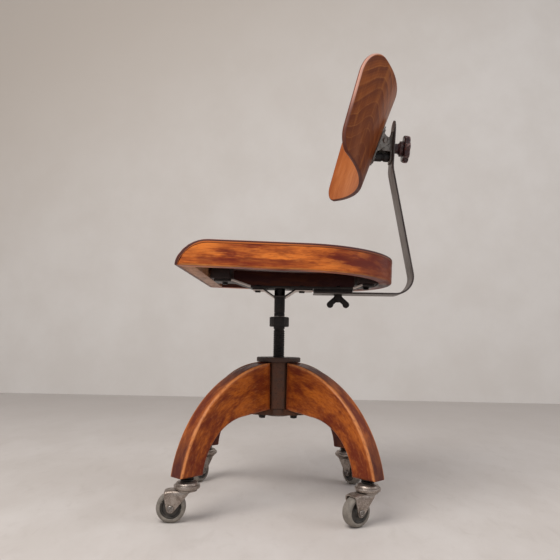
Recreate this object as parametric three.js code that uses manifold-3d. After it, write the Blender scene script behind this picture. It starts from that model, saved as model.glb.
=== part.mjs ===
// A wooden swivel chair on four casters: an iron hub with four arched legs, a screw
// spindle for the height, a dished seat on steel straps, and a sprung steel back bar
// that carries a moulded backrest on a tilting bracket.
// Millimetres. +Z is up, the sitter faces -Y, and X = 0 is the plane of symmetry.
// The origin is on the floor, under the middle of the whole chair.
import * as THREE from "three";
import { mergeVertices } from "three/addons/utils/BufferGeometryUtils.js";
import Module from "manifold-3d";

const wasm = await Module();
wasm.setup();

// Fits
const REST_GAP = 0.3; // between two faces that rest on each other
const RUN_GAP = 0.4; // between a pin and its hole, and between turning faces
const OVERRUN = 5; // how far every cutter reaches past what it cuts

// Faceting
const ROUND_SIDES = 16;
const SMALL_SIDES = 10;
const BEND_STEPS = 4;
const ARC_STEPS = 10;
const EDGE_STEPS = 2;

// Casters
const CASTER_INSET = 1.36; // of a stem's axis, from the middle of the leg's foot
const WHEEL_RADIUS = 24.4;
const WHEEL_WIDTH = 20;
const TYRE_DEPTH = 7;
const TYRE_CORNER = 3;
const WHEEL_HUB_RADIUS = 8;
const WHEEL_WEB_RECESS = 4;
const AXLE_RADIUS = 4;
const AXLE_HEAD_RADIUS = 5.5;
const AXLE_HEAD_DEPTH = 2.5;
const FORK_TRAIL = 25;
const FORK_THICKNESS = 2.5;
const FORK_SIDE_GAP = 1.5;
const FORK_CROWN_RADIUS = 17;
const FORK_HOOD_REACH = 36; // from the swivel's axis, out over the wheel
const FORK_HOOD_DEPTH = 10;
const FORK_CHEEK_START = 3;
const FORK_CROWN_UNDER = 50.5; // height of the crown's underside over the floor
const FORK_EYE_RADIUS = 7;
const RACE_RADIUS = 22;
const RACE_HEIGHT = 13;
// Outline of the race from its underside up, as shares of its radius and height
const RACE_OUTLINE_SHARES = [[0.88, 0], [1, 0.3], [1, 0.5], [0.82, 0.85], [0.5, 1]];
const STEM_RADIUS = 5.5;
const STEM_IN_LEG = 38;
const STEM_FLANGE_RADIUS = 11.5;
const STEM_FLANGE_DEPTH = 2;
const STEM_RIVET_RADIUS = 8;
const STEM_RIVET_DEPTH = 2.5;
const FOOT_HEIGHT = 74; // underside of a leg over the floor

// How each caster stood: the bearing of its trail, from the chair's left side
// towards its back, in degrees
const TRAIL_BEARING = {
  front_left: -84,
  rear_left: -55,
  front_right: -30,
  rear_right: 32,
};

// Legs, drawn in the upright plane through the spindle
const BASE_TURN = 2.2; // degrees that the base stood turned under the seat
const LEG_THICKNESS = 34;
const LEG_EDGE_ROUND = 5;
const LEG_BACK_RADIUS = 220;
const LEG_BACK_CENTRE_OUT = 20;
const LEG_ARCH_RADIUS = 100;
const LEG_ARCH_CENTRE_OUT = 92;
const LEG_ARCH_CENTRE_UP = 64;
const LEG_HUB_UNDER = 172; // underside of a leg where it meets the hub

// Iron hub
const HUB_ACROSS_FLATS = 61;
const HUB_SIDES = 8;
const FLANGE_RADIUS = 42.6;
const FLANGE_DEPTH = 9;
const FLANGE_TOP = 268.5;
const FLANGE_EDGE = 1.5;
const CROSS_DEPTH = 12;
const CROSS_RADIUS = 29;
const ARM_REACH = 66;
const ARM_ROOT_WIDTH = 26;
const ARM_TIP_WIDTH = 12;
const ARM_TIP_DEPTH = 4;
const LEG_SCREW_CIRCLE = 42;
const LEG_SCREW_RADIUS = 3;
const LEG_SCREW_LENGTH = 34;
const LEG_SCREW_HEAD_RADIUS = 5;
const LEG_SCREW_HEAD_DEPTH = 3;

// Spindle and its threaded bush
const SPINDLE_RADIUS = 11;
const SPINDLE_FOOT = 172;
const BUSH_WALL = 4.5;
const BUSH_FLANGE_RADIUS = 20;
const BUSH_FLANGE_DEPTH = 2.5;
const COLLAR_ACROSS_FLATS = 33;
const COLLAR_SIDES = 6;
const COLLAR_LIFT = 59.2; // of the collar over the hub's flange, as the seat stood
const COLLAR_HEIGHT = 19.2;
const COLLAR_CHAMFER = 2;
const PIVOT_RADIUS = 6.5;
const WASHER_DEPTH = 1.6;
const SOCKET_RADIUS = 10.5;
const SOCKET_LENGTH = 52.1;

// Steel straps under the seat
const STRAP_WIDTH = 54;
const STRAP_THICKNESS = 4.5;
const STRAP_FRONT_BEND = -54;
const STRAP_FRONT_END_BEND = -90;
const STRAP_FRONT_END = -128;
const STRAP_REAR_BEND = 144;
const STRAP_REAR_END_BEND = 158;
const STRAP_REAR_END = 182;
const STRAP_BEND_RADIUS = 9;
const BOW_THICKNESS = 3;
const BOW_DROP = 13.5;
const BOW_BOLT_REACH = 43.5;
const BOW_END_REACH = 64;
const BOW_FLAT_START = 31;
const BOW_BOTTOM_REACH = 11.5;
const BOW_BEND_RADIUS = 5;
const BOW_BOLT_RADIUS = 3;
const BOW_BOLT_HEAD_RADIUS = 5.5;
const BOW_BOLT_HEAD_DEPTH = 3;
const PAD_SCREW_RADIUS = 3;
const PAD_SCREW_HEAD_RADIUS = 5.5;
const PAD_SCREW_HEAD_DEPTH = 4;
const PAD_SCREW_LENGTH = 20;

// Seat, drawn level and then tilted back on the straps
const SEAT_HALF_WIDTH = 213;
const SEAT_FRONT = -169; // its front edge, from the spindle
const SEAT_SIDE_END = 47.5; // where the straight sides pass into the round back
const SEAT_REAR = 217;
const SEAT_HEIGHT = 44.4;
const SEAT_CLEAR = 11; // of the seat's underside over the level strap, at the spindle
const SEAT_TILT = 1.6; // degrees, lower at the back
const SEAT_CORNER = 6;
const SEAT_NOSE_RADIUS = 56;
const SEAT_SHEET = 6;
const SEAT_DISH = 15;
const DISH_EDGE_SHARE = 0.86;
const SHEET_RING_SHARES = [0.2, 0.4, 0.65, 0.765, 0.87, 0.95, 1];
const RIM_THICKNESS = 25;
const FRONT_RAIL_WIDTH = 31;
const PAD_HALF_WIDTH = 38.5;
const FRONT_PAD_START = -133;
const FRONT_PAD_END = -96;
const FRONT_PAD_RISE = 12.5; // of its underside over the level strap
const REAR_PAD_START = 150;
const REAR_PAD_END = 188;
const REAR_PAD_RISE = 6.5;

// Back bar: flat spring steel, drawn in the plane of symmetry
const BAR_WIDTH = 56;
const BAR_THICKNESS = 3.2;
const BAR_FRONT = 66.7;
const BAR_HEEL = 265; // where the level part and the riser would meet
const BAR_HEEL_RADIUS = 34;
const BAR_NECK_OUT = 219; // where the riser and the upright would meet
const BAR_RISER = 249.7; // height of the neck over the level part
const BAR_NECK_RADIUS = 60;
const BAR_UPRIGHT = 103; // height of the top over the neck
const BAR_TOP_LEAN = 3.5; // degrees
const SLOT_WIDTH = 9;
const BAR_TRAVEL = 28; // how far the bar can be drawn back from where it stood
const WING_OUT = 115;
const WING_SCREW_RADIUS = 4;
const WING_BOSS_RADIUS = 8;
const WING_BOSS_HEIGHT = 15;
const WING_LOBE_RADIUS = 6.5;
const WING_LOBE_OUT = 15.5;
const WING_LOBE_DROP = 19.5; // middle of a lobe under the top of the boss
const WING_THICKNESS = 4.5;
const PACKING_DEPTH = 5; // between the strap and the bar
const PACKING_START = 67;
const PACKING_END = 141;

// Bracket on the upright of the bar, and its star knob
const KNOB_RISE = 46.5; // over the neck of the bar
const LIFT_SLOT_UP = 20;
const LIFT_SLOT_DOWN = 8;
const BRACKET_PLATE_DEPTH = 3;
const BRACKET_PLATE_UP = 30;
const BRACKET_PLATE_DOWN = 30;
const BRACKET_HALF_WIDTH = 13;
const BRACKET_CHEEK = 2.5;
const BRACKET_EYE_RADIUS = 7.5;
const BRACKET_CHEEK_UP = 10; // over the pin
const BRACKET_CHEEK_DOWN = 11; // under the knob's axis
const STUD_RADIUS = 4;
const STUD_HEAD_RADIUS = 7;
const STUD_HEAD_DEPTH = 3;
const STUD_REACH = 26;
const KNOB_STEM_RADIUS = 10;
const KNOB_STEM_LENGTH = 11.5;
const KNOB_SHOULDER_RADIUS = 15.5;
const KNOB_SHOULDER_DEPTH = 7.5;
const KNOB_RADIUS = 28;
const KNOB_DEPTH = 12;
const KNOB_LOBES = 8;
const KNOB_LOBE_DEPTH = 3.5;
const KNOB_EDGE = 2.5;
const KNOB_POINTS_PER_LOBE = 4;

// Tilting backrest
const PIN_AHEAD = 13.5; // of the neck of the bar
const PIN_RISE = 10; // over the knob's axis
const PIN_RADIUS = 4;
const PIN_HEAD_RADIUS = 6.5;
const PIN_HEAD_DEPTH = 2;
const BACK_LEAN = 20.2; // degrees
const BACK_MIDDLE_AHEAD = 11.5; // of the pin, at the backrest's rear face
const BACK_MIDDLE_RISE = 0.5; // over the pin
const BACK_HALF_GIRTH = 217; // from the middle to a side, along the curve
const BACK_HALF_HEIGHT = 100;
const BACK_CURVE_RADIUS = 331;
const BACK_CONE = 0.0015; // how much faster it curves for each millimetre upwards
const BACK_TOP_CORNER = 60;
const BACK_BOTTOM_CORNER = 34;
const BACK_CROWN = 4.5;
const BACK_THICKNESS = 8;
const BACK_EDGE_ROUND = 2.5;
const BACK_PLATE_DEPTH = 2.5;
const BACK_PLATE_UP = 30;
const BACK_PLATE_DOWN = 42;
const BACK_PLATE_HALF_WIDTH = 20;
const BACK_CHEEK = 2.5;
const BACK_CHEEK_GAP = 1;
const BACK_EYE_RADIUS = 9.5;
const BACK_CHEEK_UP = 20;
const BACK_CHEEK_DOWN = 21;
const BUFFER_RADIUS = 8.75;
const BUFFER_WAIST_RADIUS = 7;
const BUFFER_DROP = 29; // under the pin
const BUFFER_ROUND = 3;

// Worked out from the sizes above
const LEG_INNER = HUB_ACROSS_FLATS / 2 + REST_GAP;
const LEG_TOP = FLANGE_TOP - FLANGE_DEPTH - REST_GAP;
const LEG_BACK_CENTRE_UP = LEG_TOP - LEG_BACK_RADIUS;
const FOOT_ARCH_OUT =
  LEG_ARCH_CENTRE_OUT + Math.sqrt(LEG_ARCH_RADIUS ** 2 - (FOOT_HEIGHT - LEG_ARCH_CENTRE_UP) ** 2);
const FOOT_BACK_OUT =
  LEG_BACK_CENTRE_OUT + Math.sqrt(LEG_BACK_RADIUS ** 2 - (FOOT_HEIGHT - LEG_BACK_CENTRE_UP) ** 2);
const CASTER_CIRCLE_RADIUS = (FOOT_ARCH_OUT + FOOT_BACK_OUT) / 2 - CASTER_INSET;
const CROSS_TOP = LEG_HUB_UNDER - REST_GAP;
const CROSS_UNDER = CROSS_TOP - CROSS_DEPTH;
const CROWN_TOP = FORK_CROWN_UNDER + FORK_THICKNESS;
const RACE_UNDER = CROWN_TOP + RUN_GAP;
const CHEEK_INNER = WHEEL_WIDTH / 2 + FORK_SIDE_GAP;
const CHEEK_OUTER = CHEEK_INNER + FORK_THICKNESS;
const BUSH_RADIUS = SPINDLE_RADIUS + RUN_GAP + BUSH_WALL;
const COLLAR_UNDER = FLANGE_TOP + COLLAR_LIFT;
const COLLAR_TOP = COLLAR_UNDER + COLLAR_HEIGHT;
const WASHER_UNDER = COLLAR_TOP + REST_GAP;
const SOCKET_UNDER = WASHER_UNDER + WASHER_DEPTH + REST_GAP;
const STRAP_UNDER = SOCKET_UNDER + SOCKET_LENGTH + REST_GAP;
const STRAP_TOP = STRAP_UNDER + STRAP_THICKNESS;
const SEAT_UNDER_AT_SPINDLE = STRAP_TOP + SEAT_CLEAR;
const FRONT_PAD_UNDER = STRAP_TOP + FRONT_PAD_RISE;
const REAR_PAD_UNDER = STRAP_TOP + REAR_PAD_RISE;
const SHEET_UNDER = SEAT_HEIGHT - SEAT_SHEET;
const PACKING_TOP = STRAP_UNDER - REST_GAP;
const BAR_UP = PACKING_TOP - PACKING_DEPTH - REST_GAP - BAR_THICKNESS / 2;
const BAR_UNDER = BAR_UP - BAR_THICKNESS / 2;
const BAR_NECK_UP = BAR_UP + BAR_RISER;
const BAR_TOP = BAR_NECK_UP + BAR_UPRIGHT;
const KNOB_UP = BAR_NECK_UP + KNOB_RISE;
const PIN_UP = KNOB_UP + PIN_RISE;
const PIN_OUT = BAR_NECK_OUT - PIN_AHEAD;
const BACK_MIDDLE_OUT = PIN_OUT - BACK_MIDDLE_AHEAD;
const BACK_MIDDLE_UP = PIN_UP + BACK_MIDDLE_RISE;
const BUFFER_UP = PIN_UP - BUFFER_DROP;
const BAR_TOP_SLOPE = Math.tan(THREE.MathUtils.degToRad(BAR_TOP_LEAN));
const BACK_SINE = Math.sin(THREE.MathUtils.degToRad(BACK_LEAN));
const BACK_COSINE = Math.cos(THREE.MathUtils.degToRad(BACK_LEAN));

// Finishes
const finish = (color, roughness, metalness) =>
  new THREE.MeshStandardMaterial({ color, roughness, metalness });
const stainedWood = () => finish(0xa5501c, 0.35, 0);
const paleWood = () => finish(0xb98658, 0.6, 0);
const castIron = () => finish(0x4a3a30, 0.65, 0.7);
const blackSteel = () => finish(0x1d1a19, 0.45, 0.8);
const wornSteel = () => finish(0x8a827c, 0.35, 0.9);
const platedSteel = () => finish(0xb9b4ac, 0.25, 1);
const greyRubber = () => finish(0x8c8a86, 0.8, 0);
const blackRubber = () => finish(0x101012, 0.7, 0);
const redBakelite = () => finish(0x3a1518, 0.25, 0);

// Solids from closed meshes, and back again

function solid(geometry) {
  const plain = geometry.index ? geometry.toNonIndexed() : geometry.clone();
  plain.deleteAttribute("normal");
  plain.deleteAttribute("uv");
  const merged = mergeVertices(plain);
  return new wasm.Manifold(
    new wasm.Mesh({
      numProp: 3,
      vertProperties: merged.attributes.position.array,
      triVerts: new Uint32Array(merged.index.array),
    }),
  );
}

function geometryOf(made) {
  const mesh = made.getMesh();
  const places = new Float32Array(mesh.numVert * 3);
  for (let i = 0; i < mesh.numVert; i++) {
    places.set(mesh.vertProperties.subarray(i * mesh.numProp, i * mesh.numProp + 3), i * 3);
  }
  const geometry = new THREE.BufferGeometry();
  geometry.setAttribute("position", new THREE.BufferAttribute(places, 3));
  geometry.setIndex(new THREE.BufferAttribute(mesh.triVerts, 1));
  const flat = geometry.toNonIndexed();
  flat.computeVertexNormals();
  return flat;
}

// Makes the named mesh of one piece and puts it in its group.
function piece(group, name, material, made) {
  const mesh = new THREE.Mesh(geometryOf(made), material);
  mesh.name = name;
  group.add(mesh);
  return mesh;
}

// Basic forms

// A form turned about the upright axis from [radius, height] points. The points run
// up the outside, and start and end on the axis or close into a ring.
function turned(points, sides) {
  const profile = points.map(([radius, height]) => new THREE.Vector2(radius, height));
  const geometry = new THREE.LatheGeometry(profile, sides);
  geometry.rotateX(Math.PI / 2);
  return solid(geometry);
}

function rod(radius, low, high, sides = SMALL_SIDES) {
  return turned([[0, low], [radius, low], [radius, high], [0, high]], sides);
}

function tube(outer, inner, low, high, sides = ROUND_SIDES) {
  const ring = [[inner, low], [outer, low], [outer, high], [inner, high], [inner, low]];
  return turned(ring, sides);
}

function block(size, middle) {
  const geometry = new THREE.BoxGeometry(...size);
  geometry.translate(...middle);
  return solid(geometry);
}

// A flat shape in plan, raised between two heights.
function raised(shape, low, high) {
  const geometry = new THREE.ExtrudeGeometry(shape, {
    depth: high - low,
    bevelEnabled: false,
    curveSegments: BEND_STEPS,
  });
  geometry.translate(0, 0, low);
  return solid(geometry);
}

// A side view in the XZ plane, made as wide as given along Y and centred on it, with
// its edges rounded.
function sideways(shape, width, round = 0) {
  const geometry = new THREE.ExtrudeGeometry(shape, {
    depth: width - 2 * round,
    bevelEnabled: round > 0,
    bevelThickness: round,
    bevelSize: round,
    bevelOffset: -round,
    bevelSegments: EDGE_STEPS,
    curveSegments: ARC_STEPS,
  });
  geometry.rotateX(Math.PI / 2);
  geometry.translate(0, width / 2 - round, 0);
  return solid(geometry);
}

// The same for a side view in the YZ plane, centred on X = 0.
const foreAndAft = (shape, width, round) => sideways(shape, width, round).rotate([0, 0, 90]);

function outline(points) {
  return new THREE.Shape(points.map(([x, y]) => new THREE.Vector2(x, y)));
}

function regularShape(acrossFlats, sides) {
  const radius = acrossFlats / 2 / Math.cos(Math.PI / sides);
  const points = [];
  for (let i = 0; i < sides; i++) {
    const turn = ((i + 0.5) * 2 * Math.PI) / sides;
    points.push([radius * Math.cos(turn), radius * Math.sin(turn)]);
  }
  return outline(points);
}

// A round-ended slot in plan, along Y from one end to the other.
function slotShape(width, start, end) {
  const shape = new THREE.Shape();
  const radius = width / 2;
  shape.absarc(0, end - radius, radius, 0, Math.PI);
  shape.absarc(0, start + radius, radius, Math.PI, 2 * Math.PI);
  return shape;
}

// The middle line of a bent strip: straight runs with each inner corner rounded.
function bentLine(corners, radii) {
  const line = [corners[0]];
  for (let i = 1; i < corners.length - 1; i++) {
    const corner = corners[i];
    const back = corners[i - 1].clone().sub(corner).normalize();
    const on = corners[i + 1].clone().sub(corner).normalize();
    const half = Math.acos(THREE.MathUtils.clamp(back.dot(on), -1, 1)) / 2;
    const centre = back.clone().add(on).normalize();
    centre.multiplyScalar(radii[i - 1] / Math.sin(half)).add(corner);
    const start = back.clone().multiplyScalar(radii[i - 1] / Math.tan(half)).add(corner);
    const swing = (Math.PI - 2 * half) * Math.sign(on.cross(back));
    for (let k = 0; k <= BEND_STEPS; k++) {
      line.push(start.clone().rotateAround(centre, (swing * k) / BEND_STEPS));
    }
  }
  line.push(corners[corners.length - 1]);
  return line;
}

// The side view of a strip of even thickness along a bent middle line.
function stripShape(corners, radii, thickness) {
  const line = bentLine(corners.map(([x, y]) => new THREE.Vector2(x, y)), radii);
  const left = [];
  const right = [];
  line.forEach((point, i) => {
    const before = line[Math.max(i - 1, 0)];
    const after = line[Math.min(i + 1, line.length - 1)];
    const into = point.clone().sub(before).normalize();
    const out = after.clone().sub(point).normalize();
    const along = into.add(out).normalize();
    const side = new THREE.Vector2(-along.y, along.x).multiplyScalar(thickness / 2);
    left.push(point.clone().add(side));
    right.push(point.clone().sub(side));
  });
  return new THREE.Shape(right.concat(left.reverse()));
}

// A closed sheet from a loop of plan points: rings of points shrink to the middle, and
// the two faces give each point's place on the upper and on the lower skin.
function sheetSolid(loop, ringShares, upper, lower) {
  const count = loop.length;
  const places = [];
  const faces = [];
  const skin = (place, turnedOver) => {
    const first = places.length;
    places.push(place([0, 0], 0));
    for (const share of ringShares) {
      for (const point of loop) places.push(place(point, share));
    }
    const spot = (ring, i) => first + 1 + ring * count + (i % count);
    const add = (a, b, c) => faces.push(turnedOver ? [a, c, b] : [a, b, c]);
    for (let i = 0; i < count; i++) {
      add(first, spot(0, i), spot(0, i + 1));
      for (let ring = 1; ring < ringShares.length; ring++) {
        add(spot(ring - 1, i), spot(ring, i), spot(ring, i + 1));
        add(spot(ring - 1, i), spot(ring, i + 1), spot(ring - 1, i + 1));
      }
    }
    return (i) => spot(ringShares.length - 1, i);
  };
  const top = skin(upper, false);
  const bottom = skin(lower, true);
  for (let i = 0; i < count; i++) {
    faces.push([top(i), bottom(i), bottom(i + 1)]);
    faces.push([top(i), bottom(i + 1), top(i + 1)]);
  }
  const geometry = new THREE.BufferGeometry();
  geometry.setAttribute("position", new THREE.Float32BufferAttribute(places.flat(), 3));
  geometry.setIndex(faces.flat());
  return solid(geometry);
}

// Casters

function casterStem() {
  const bottom = FORK_CROWN_UNDER - RUN_GAP - STEM_RIVET_DEPTH;
  const rivetTop = bottom + STEM_RIVET_DEPTH;
  const flangeTop = FOOT_HEIGHT - REST_GAP;
  const flangeUnder = flangeTop - STEM_FLANGE_DEPTH;
  return turned(
    [
      [0, bottom],
      [STEM_RIVET_RADIUS, bottom],
      [STEM_RIVET_RADIUS, rivetTop],
      [STEM_RADIUS, rivetTop],
      [STEM_RADIUS, flangeUnder],
      [STEM_FLANGE_RADIUS, flangeUnder],
      [STEM_FLANGE_RADIUS, flangeTop],
      [STEM_RADIUS, flangeTop],
      [STEM_RADIUS, FOOT_HEIGHT + STEM_IN_LEG],
      [0, FOOT_HEIGHT + STEM_IN_LEG],
    ],
    SMALL_SIDES,
  );
}

// The domed housing of the ball race, fixed on the stem.
function casterRace() {
  const bore = STEM_RADIUS + REST_GAP;
  const outside = RACE_OUTLINE_SHARES.map(([out, up]) => [
    RACE_RADIUS * out,
    RACE_UNDER + RACE_HEIGHT * up,
  ]);
  const foot = [bore, RACE_UNDER];
  return turned([foot, ...outside, [bore, RACE_UNDER + RACE_HEIGHT], foot], ROUND_SIDES);
}

// Side view of a fork cheek: it hangs from the hood and narrows to the axle's eye.
function cheekShape() {
  const lean = Math.atan2(FORK_CROWN_UNDER - WHEEL_RADIUS, FORK_TRAIL - FORK_CHEEK_START);
  const shape = new THREE.Shape();
  shape.absarc(FORK_TRAIL, WHEEL_RADIUS, FORK_EYE_RADIUS, -Math.PI / 2 - lean, 0);
  shape.lineTo(FORK_HOOD_REACH, CROWN_TOP - FORK_HOOD_DEPTH);
  shape.lineTo(FORK_HOOD_REACH, CROWN_TOP);
  shape.lineTo(FORK_CHEEK_START, CROWN_TOP);
  shape.lineTo(FORK_CHEEK_START, FORK_CROWN_UNDER);
  return shape;
}

// One stamping: a round crown under the race, a hood over the wheel and two cheeks.
function casterFork() {
  const crown = rod(FORK_CROWN_RADIUS, FORK_CROWN_UNDER, CROWN_TOP, ROUND_SIDES);
  const hood = block(
    [FORK_HOOD_REACH - FORK_CHEEK_START, 2 * CHEEK_OUTER, FORK_THICKNESS],
    [(FORK_HOOD_REACH + FORK_CHEEK_START) / 2, 0, CROWN_TOP - FORK_THICKNESS / 2],
  );
  const middle = CHEEK_OUTER - FORK_THICKNESS / 2;
  const near = sideways(cheekShape(), FORK_THICKNESS).translate([0, middle, 0]);
  const far = sideways(cheekShape(), FORK_THICKNESS).translate([0, -middle, 0]);
  const bore = rod(STEM_RADIUS + RUN_GAP, FORK_CROWN_UNDER - OVERRUN, CROWN_TOP + OVERRUN);
  const eye = rod(AXLE_RADIUS + REST_GAP, -CHEEK_OUTER - OVERRUN, CHEEK_OUTER + OVERRUN);
  return crown.add(hood).add(near).add(far).subtract(bore).subtract(onAxle(eye));
}

// The wheel's pieces are turned upright and then laid on their side.
const onAxle = (made) => made.rotate([90, 0, 0]).translate([FORK_TRAIL, 0, WHEEL_RADIUS]);

function casterAxle() {
  const head = CHEEK_OUTER + REST_GAP;
  const end = head + AXLE_HEAD_DEPTH;
  const shank = rod(AXLE_RADIUS, -end, end);
  const heads = [-end, head].map((low) => rod(AXLE_HEAD_RADIUS, low, low + AXLE_HEAD_DEPTH));
  return onAxle(shank.add(heads[0]).add(heads[1]));
}

function casterTyre() {
  const half = WHEEL_WIDTH / 2;
  const inner = WHEEL_RADIUS - TYRE_DEPTH;
  return onAxle(
    turned(
      [
        [inner, -half],
        [WHEEL_RADIUS - TYRE_CORNER, -half],
        [WHEEL_RADIUS, TYRE_CORNER - half],
        [WHEEL_RADIUS, half - TYRE_CORNER],
        [WHEEL_RADIUS - TYRE_CORNER, half],
        [inner, half],
        [inner, -half],
      ],
      ROUND_SIDES,
    ),
  );
}

function casterWheel() {
  const half = WHEEL_WIDTH / 2;
  const web = half - WHEEL_WEB_RECESS;
  const outer = WHEEL_RADIUS - TYRE_DEPTH - REST_GAP;
  const bore = AXLE_RADIUS + RUN_GAP;
  return onAxle(
    turned(
      [
        [bore, -half],
        [WHEEL_HUB_RADIUS, -half],
        [WHEEL_HUB_RADIUS + WHEEL_WEB_RECESS / 2, -web],
        [outer, -web],
        [outer, web],
        [WHEEL_HUB_RADIUS + WHEEL_WEB_RECESS / 2, web],
        [WHEEL_HUB_RADIUS, half],
        [bore, half],
        [bore, -half],
      ],
      ROUND_SIDES,
    ),
  );
}

function addCaster(corner, place, bearing) {
  const fixed = new THREE.Group();
  fixed.position.copy(place);
  piece(fixed, `caster_stem_${place.name}`, blackSteel(), casterStem());
  piece(fixed, `caster_race_${place.name}`, platedSteel(), casterRace());
  const swivel = new THREE.Group();
  swivel.position.copy(place);
  swivel.rotation.z = THREE.MathUtils.degToRad(bearing);
  piece(swivel, `caster_fork_${place.name}`, platedSteel(), casterFork());
  piece(swivel, `caster_axle_${place.name}`, wornSteel(), casterAxle());
  piece(swivel, `caster_tyre_${place.name}`, greyRubber(), casterTyre());
  piece(swivel, `caster_wheel_${place.name}`, blackSteel(), casterWheel());
  corner.add(fixed, swivel);
}

// Base

// Where the straight underside of a leg runs into its arch.
function archTangent() {
  const away = new THREE.Vector2(
    LEG_ARCH_CENTRE_OUT - LEG_INNER,
    LEG_ARCH_CENTRE_UP - LEG_HUB_UNDER,
  );
  const spread = Math.asin(LEG_ARCH_RADIUS / away.length());
  return { slope: away.angle() + spread, turn: away.angle() + spread + Math.PI / 2 };
}

function legShape() {
  const footBack = Math.asin((FOOT_HEIGHT - LEG_BACK_CENTRE_UP) / LEG_BACK_RADIUS);
  const footArch = Math.asin((FOOT_HEIGHT - LEG_ARCH_CENTRE_UP) / LEG_ARCH_RADIUS);
  const crest = Math.acos((LEG_INNER - LEG_BACK_CENTRE_OUT) / LEG_BACK_RADIUS);
  const shape = new THREE.Shape();
  shape.absarc(
    LEG_ARCH_CENTRE_OUT,
    LEG_ARCH_CENTRE_UP,
    LEG_ARCH_RADIUS,
    archTangent().turn,
    footArch,
    true,
  );
  shape.absarc(LEG_BACK_CENTRE_OUT, LEG_BACK_CENTRE_UP, LEG_BACK_RADIUS, footBack, crest);
  shape.lineTo(LEG_INNER, LEG_HUB_UNDER);
  return shape;
}

function leg() {
  const stemHole = rod(STEM_RADIUS + REST_GAP, -OVERRUN, STEM_IN_LEG + REST_GAP);
  const screwHole = rod(LEG_SCREW_RADIUS + REST_GAP, 0, LEG_SCREW_LENGTH + REST_GAP);
  return sideways(legShape(), LEG_THICKNESS, LEG_EDGE_ROUND)
    .subtract(stemHole.translate([CASTER_CIRCLE_RADIUS, 0, FOOT_HEIGHT]))
    .subtract(screwHole.translate([LEG_SCREW_CIRCLE, 0, CROSS_UNDER]));
}

// Height of the underside of the legs over the arms of the cross.
const armTop = (out) => CROSS_TOP + (out - LEG_INNER) * Math.tan(archTangent().slope);

function crossArm() {
  const side = outline([
    [0, CROSS_UNDER],
    [CROSS_RADIUS, CROSS_UNDER],
    [ARM_REACH, armTop(ARM_REACH) - ARM_TIP_DEPTH],
    [ARM_REACH, armTop(ARM_REACH)],
    [LEG_INNER, CROSS_TOP],
    [0, CROSS_TOP],
  ]);
  const plan = new THREE.Shape();
  plan.moveTo(0, -ARM_ROOT_WIDTH / 2);
  plan.lineTo(CROSS_RADIUS, -ARM_ROOT_WIDTH / 2);
  const tip = ARM_TIP_WIDTH / 2;
  plan.absarc(ARM_REACH - tip, 0, tip, -Math.PI / 2, Math.PI / 2);
  plan.lineTo(CROSS_RADIUS, ARM_ROOT_WIDTH / 2);
  plan.lineTo(0, ARM_ROOT_WIDTH / 2);
  const hole = rod(LEG_SCREW_RADIUS + REST_GAP, CROSS_UNDER - OVERRUN, CROSS_TOP + OVERRUN);
  return sideways(side, ARM_ROOT_WIDTH)
    .intersect(raised(plan, CROSS_UNDER - OVERRUN, CROSS_TOP + OVERRUN))
    .subtract(hole.translate([LEG_SCREW_CIRCLE, 0, 0]));
}

function footCross() {
  let made = rod(CROSS_RADIUS, CROSS_UNDER, CROSS_TOP, ROUND_SIDES);
  for (let i = 0; i < 4; i++) made = made.add(crossArm().rotate([0, 0, i * 90]));
  const bore = rod(BUSH_RADIUS + REST_GAP, CROSS_UNDER - OVERRUN, CROSS_TOP + OVERRUN, ROUND_SIDES);
  return made.subtract(bore);
}

// The underside of an arm falls away outwards, so a screw's head sits at its height.
function legScrew() {
  const slope =
    (armTop(ARM_REACH) - ARM_TIP_DEPTH - CROSS_UNDER) / (ARM_REACH - CROSS_RADIUS);
  const inner = LEG_SCREW_CIRCLE - LEG_SCREW_HEAD_RADIUS - CROSS_RADIUS;
  const headTop = CROSS_UNDER + slope * inner - REST_GAP;
  return rod(LEG_SCREW_RADIUS, headTop - LEG_SCREW_HEAD_DEPTH, CROSS_UNDER + LEG_SCREW_LENGTH)
    .add(rod(LEG_SCREW_HEAD_RADIUS, headTop - LEG_SCREW_HEAD_DEPTH, headTop))
    .translate([LEG_SCREW_CIRCLE, 0, 0]);
}

function hub() {
  const column = raised(
    regularShape(HUB_ACROSS_FLATS, HUB_SIDES),
    LEG_HUB_UNDER,
    FLANGE_TOP - FLANGE_DEPTH / 2,
  );
  const under = FLANGE_TOP - FLANGE_DEPTH;
  const flange = turned(
    [
      [0, under],
      [FLANGE_RADIUS - FLANGE_EDGE, under],
      [FLANGE_RADIUS, under + FLANGE_EDGE],
      [FLANGE_RADIUS, FLANGE_TOP - FLANGE_EDGE],
      [FLANGE_RADIUS - FLANGE_EDGE, FLANGE_TOP],
      [0, FLANGE_TOP],
    ],
    ROUND_SIDES * 2,
  );
  const bore = rod(BUSH_RADIUS + REST_GAP, LEG_HUB_UNDER - OVERRUN, FLANGE_TOP + OVERRUN, ROUND_SIDES);
  return column.add(flange).subtract(bore);
}

// The threaded bush: its flange holds the cross up against the column.
function spindleBush() {
  const flangeTop = CROSS_UNDER - REST_GAP;
  const flangeUnder = flangeTop - BUSH_FLANGE_DEPTH;
  return tube(BUSH_RADIUS, SPINDLE_RADIUS + RUN_GAP, flangeUnder, FLANGE_TOP).add(
    tube(BUSH_FLANGE_RADIUS, SPINDLE_RADIUS + RUN_GAP, flangeUnder, flangeTop),
  );
}

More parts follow.
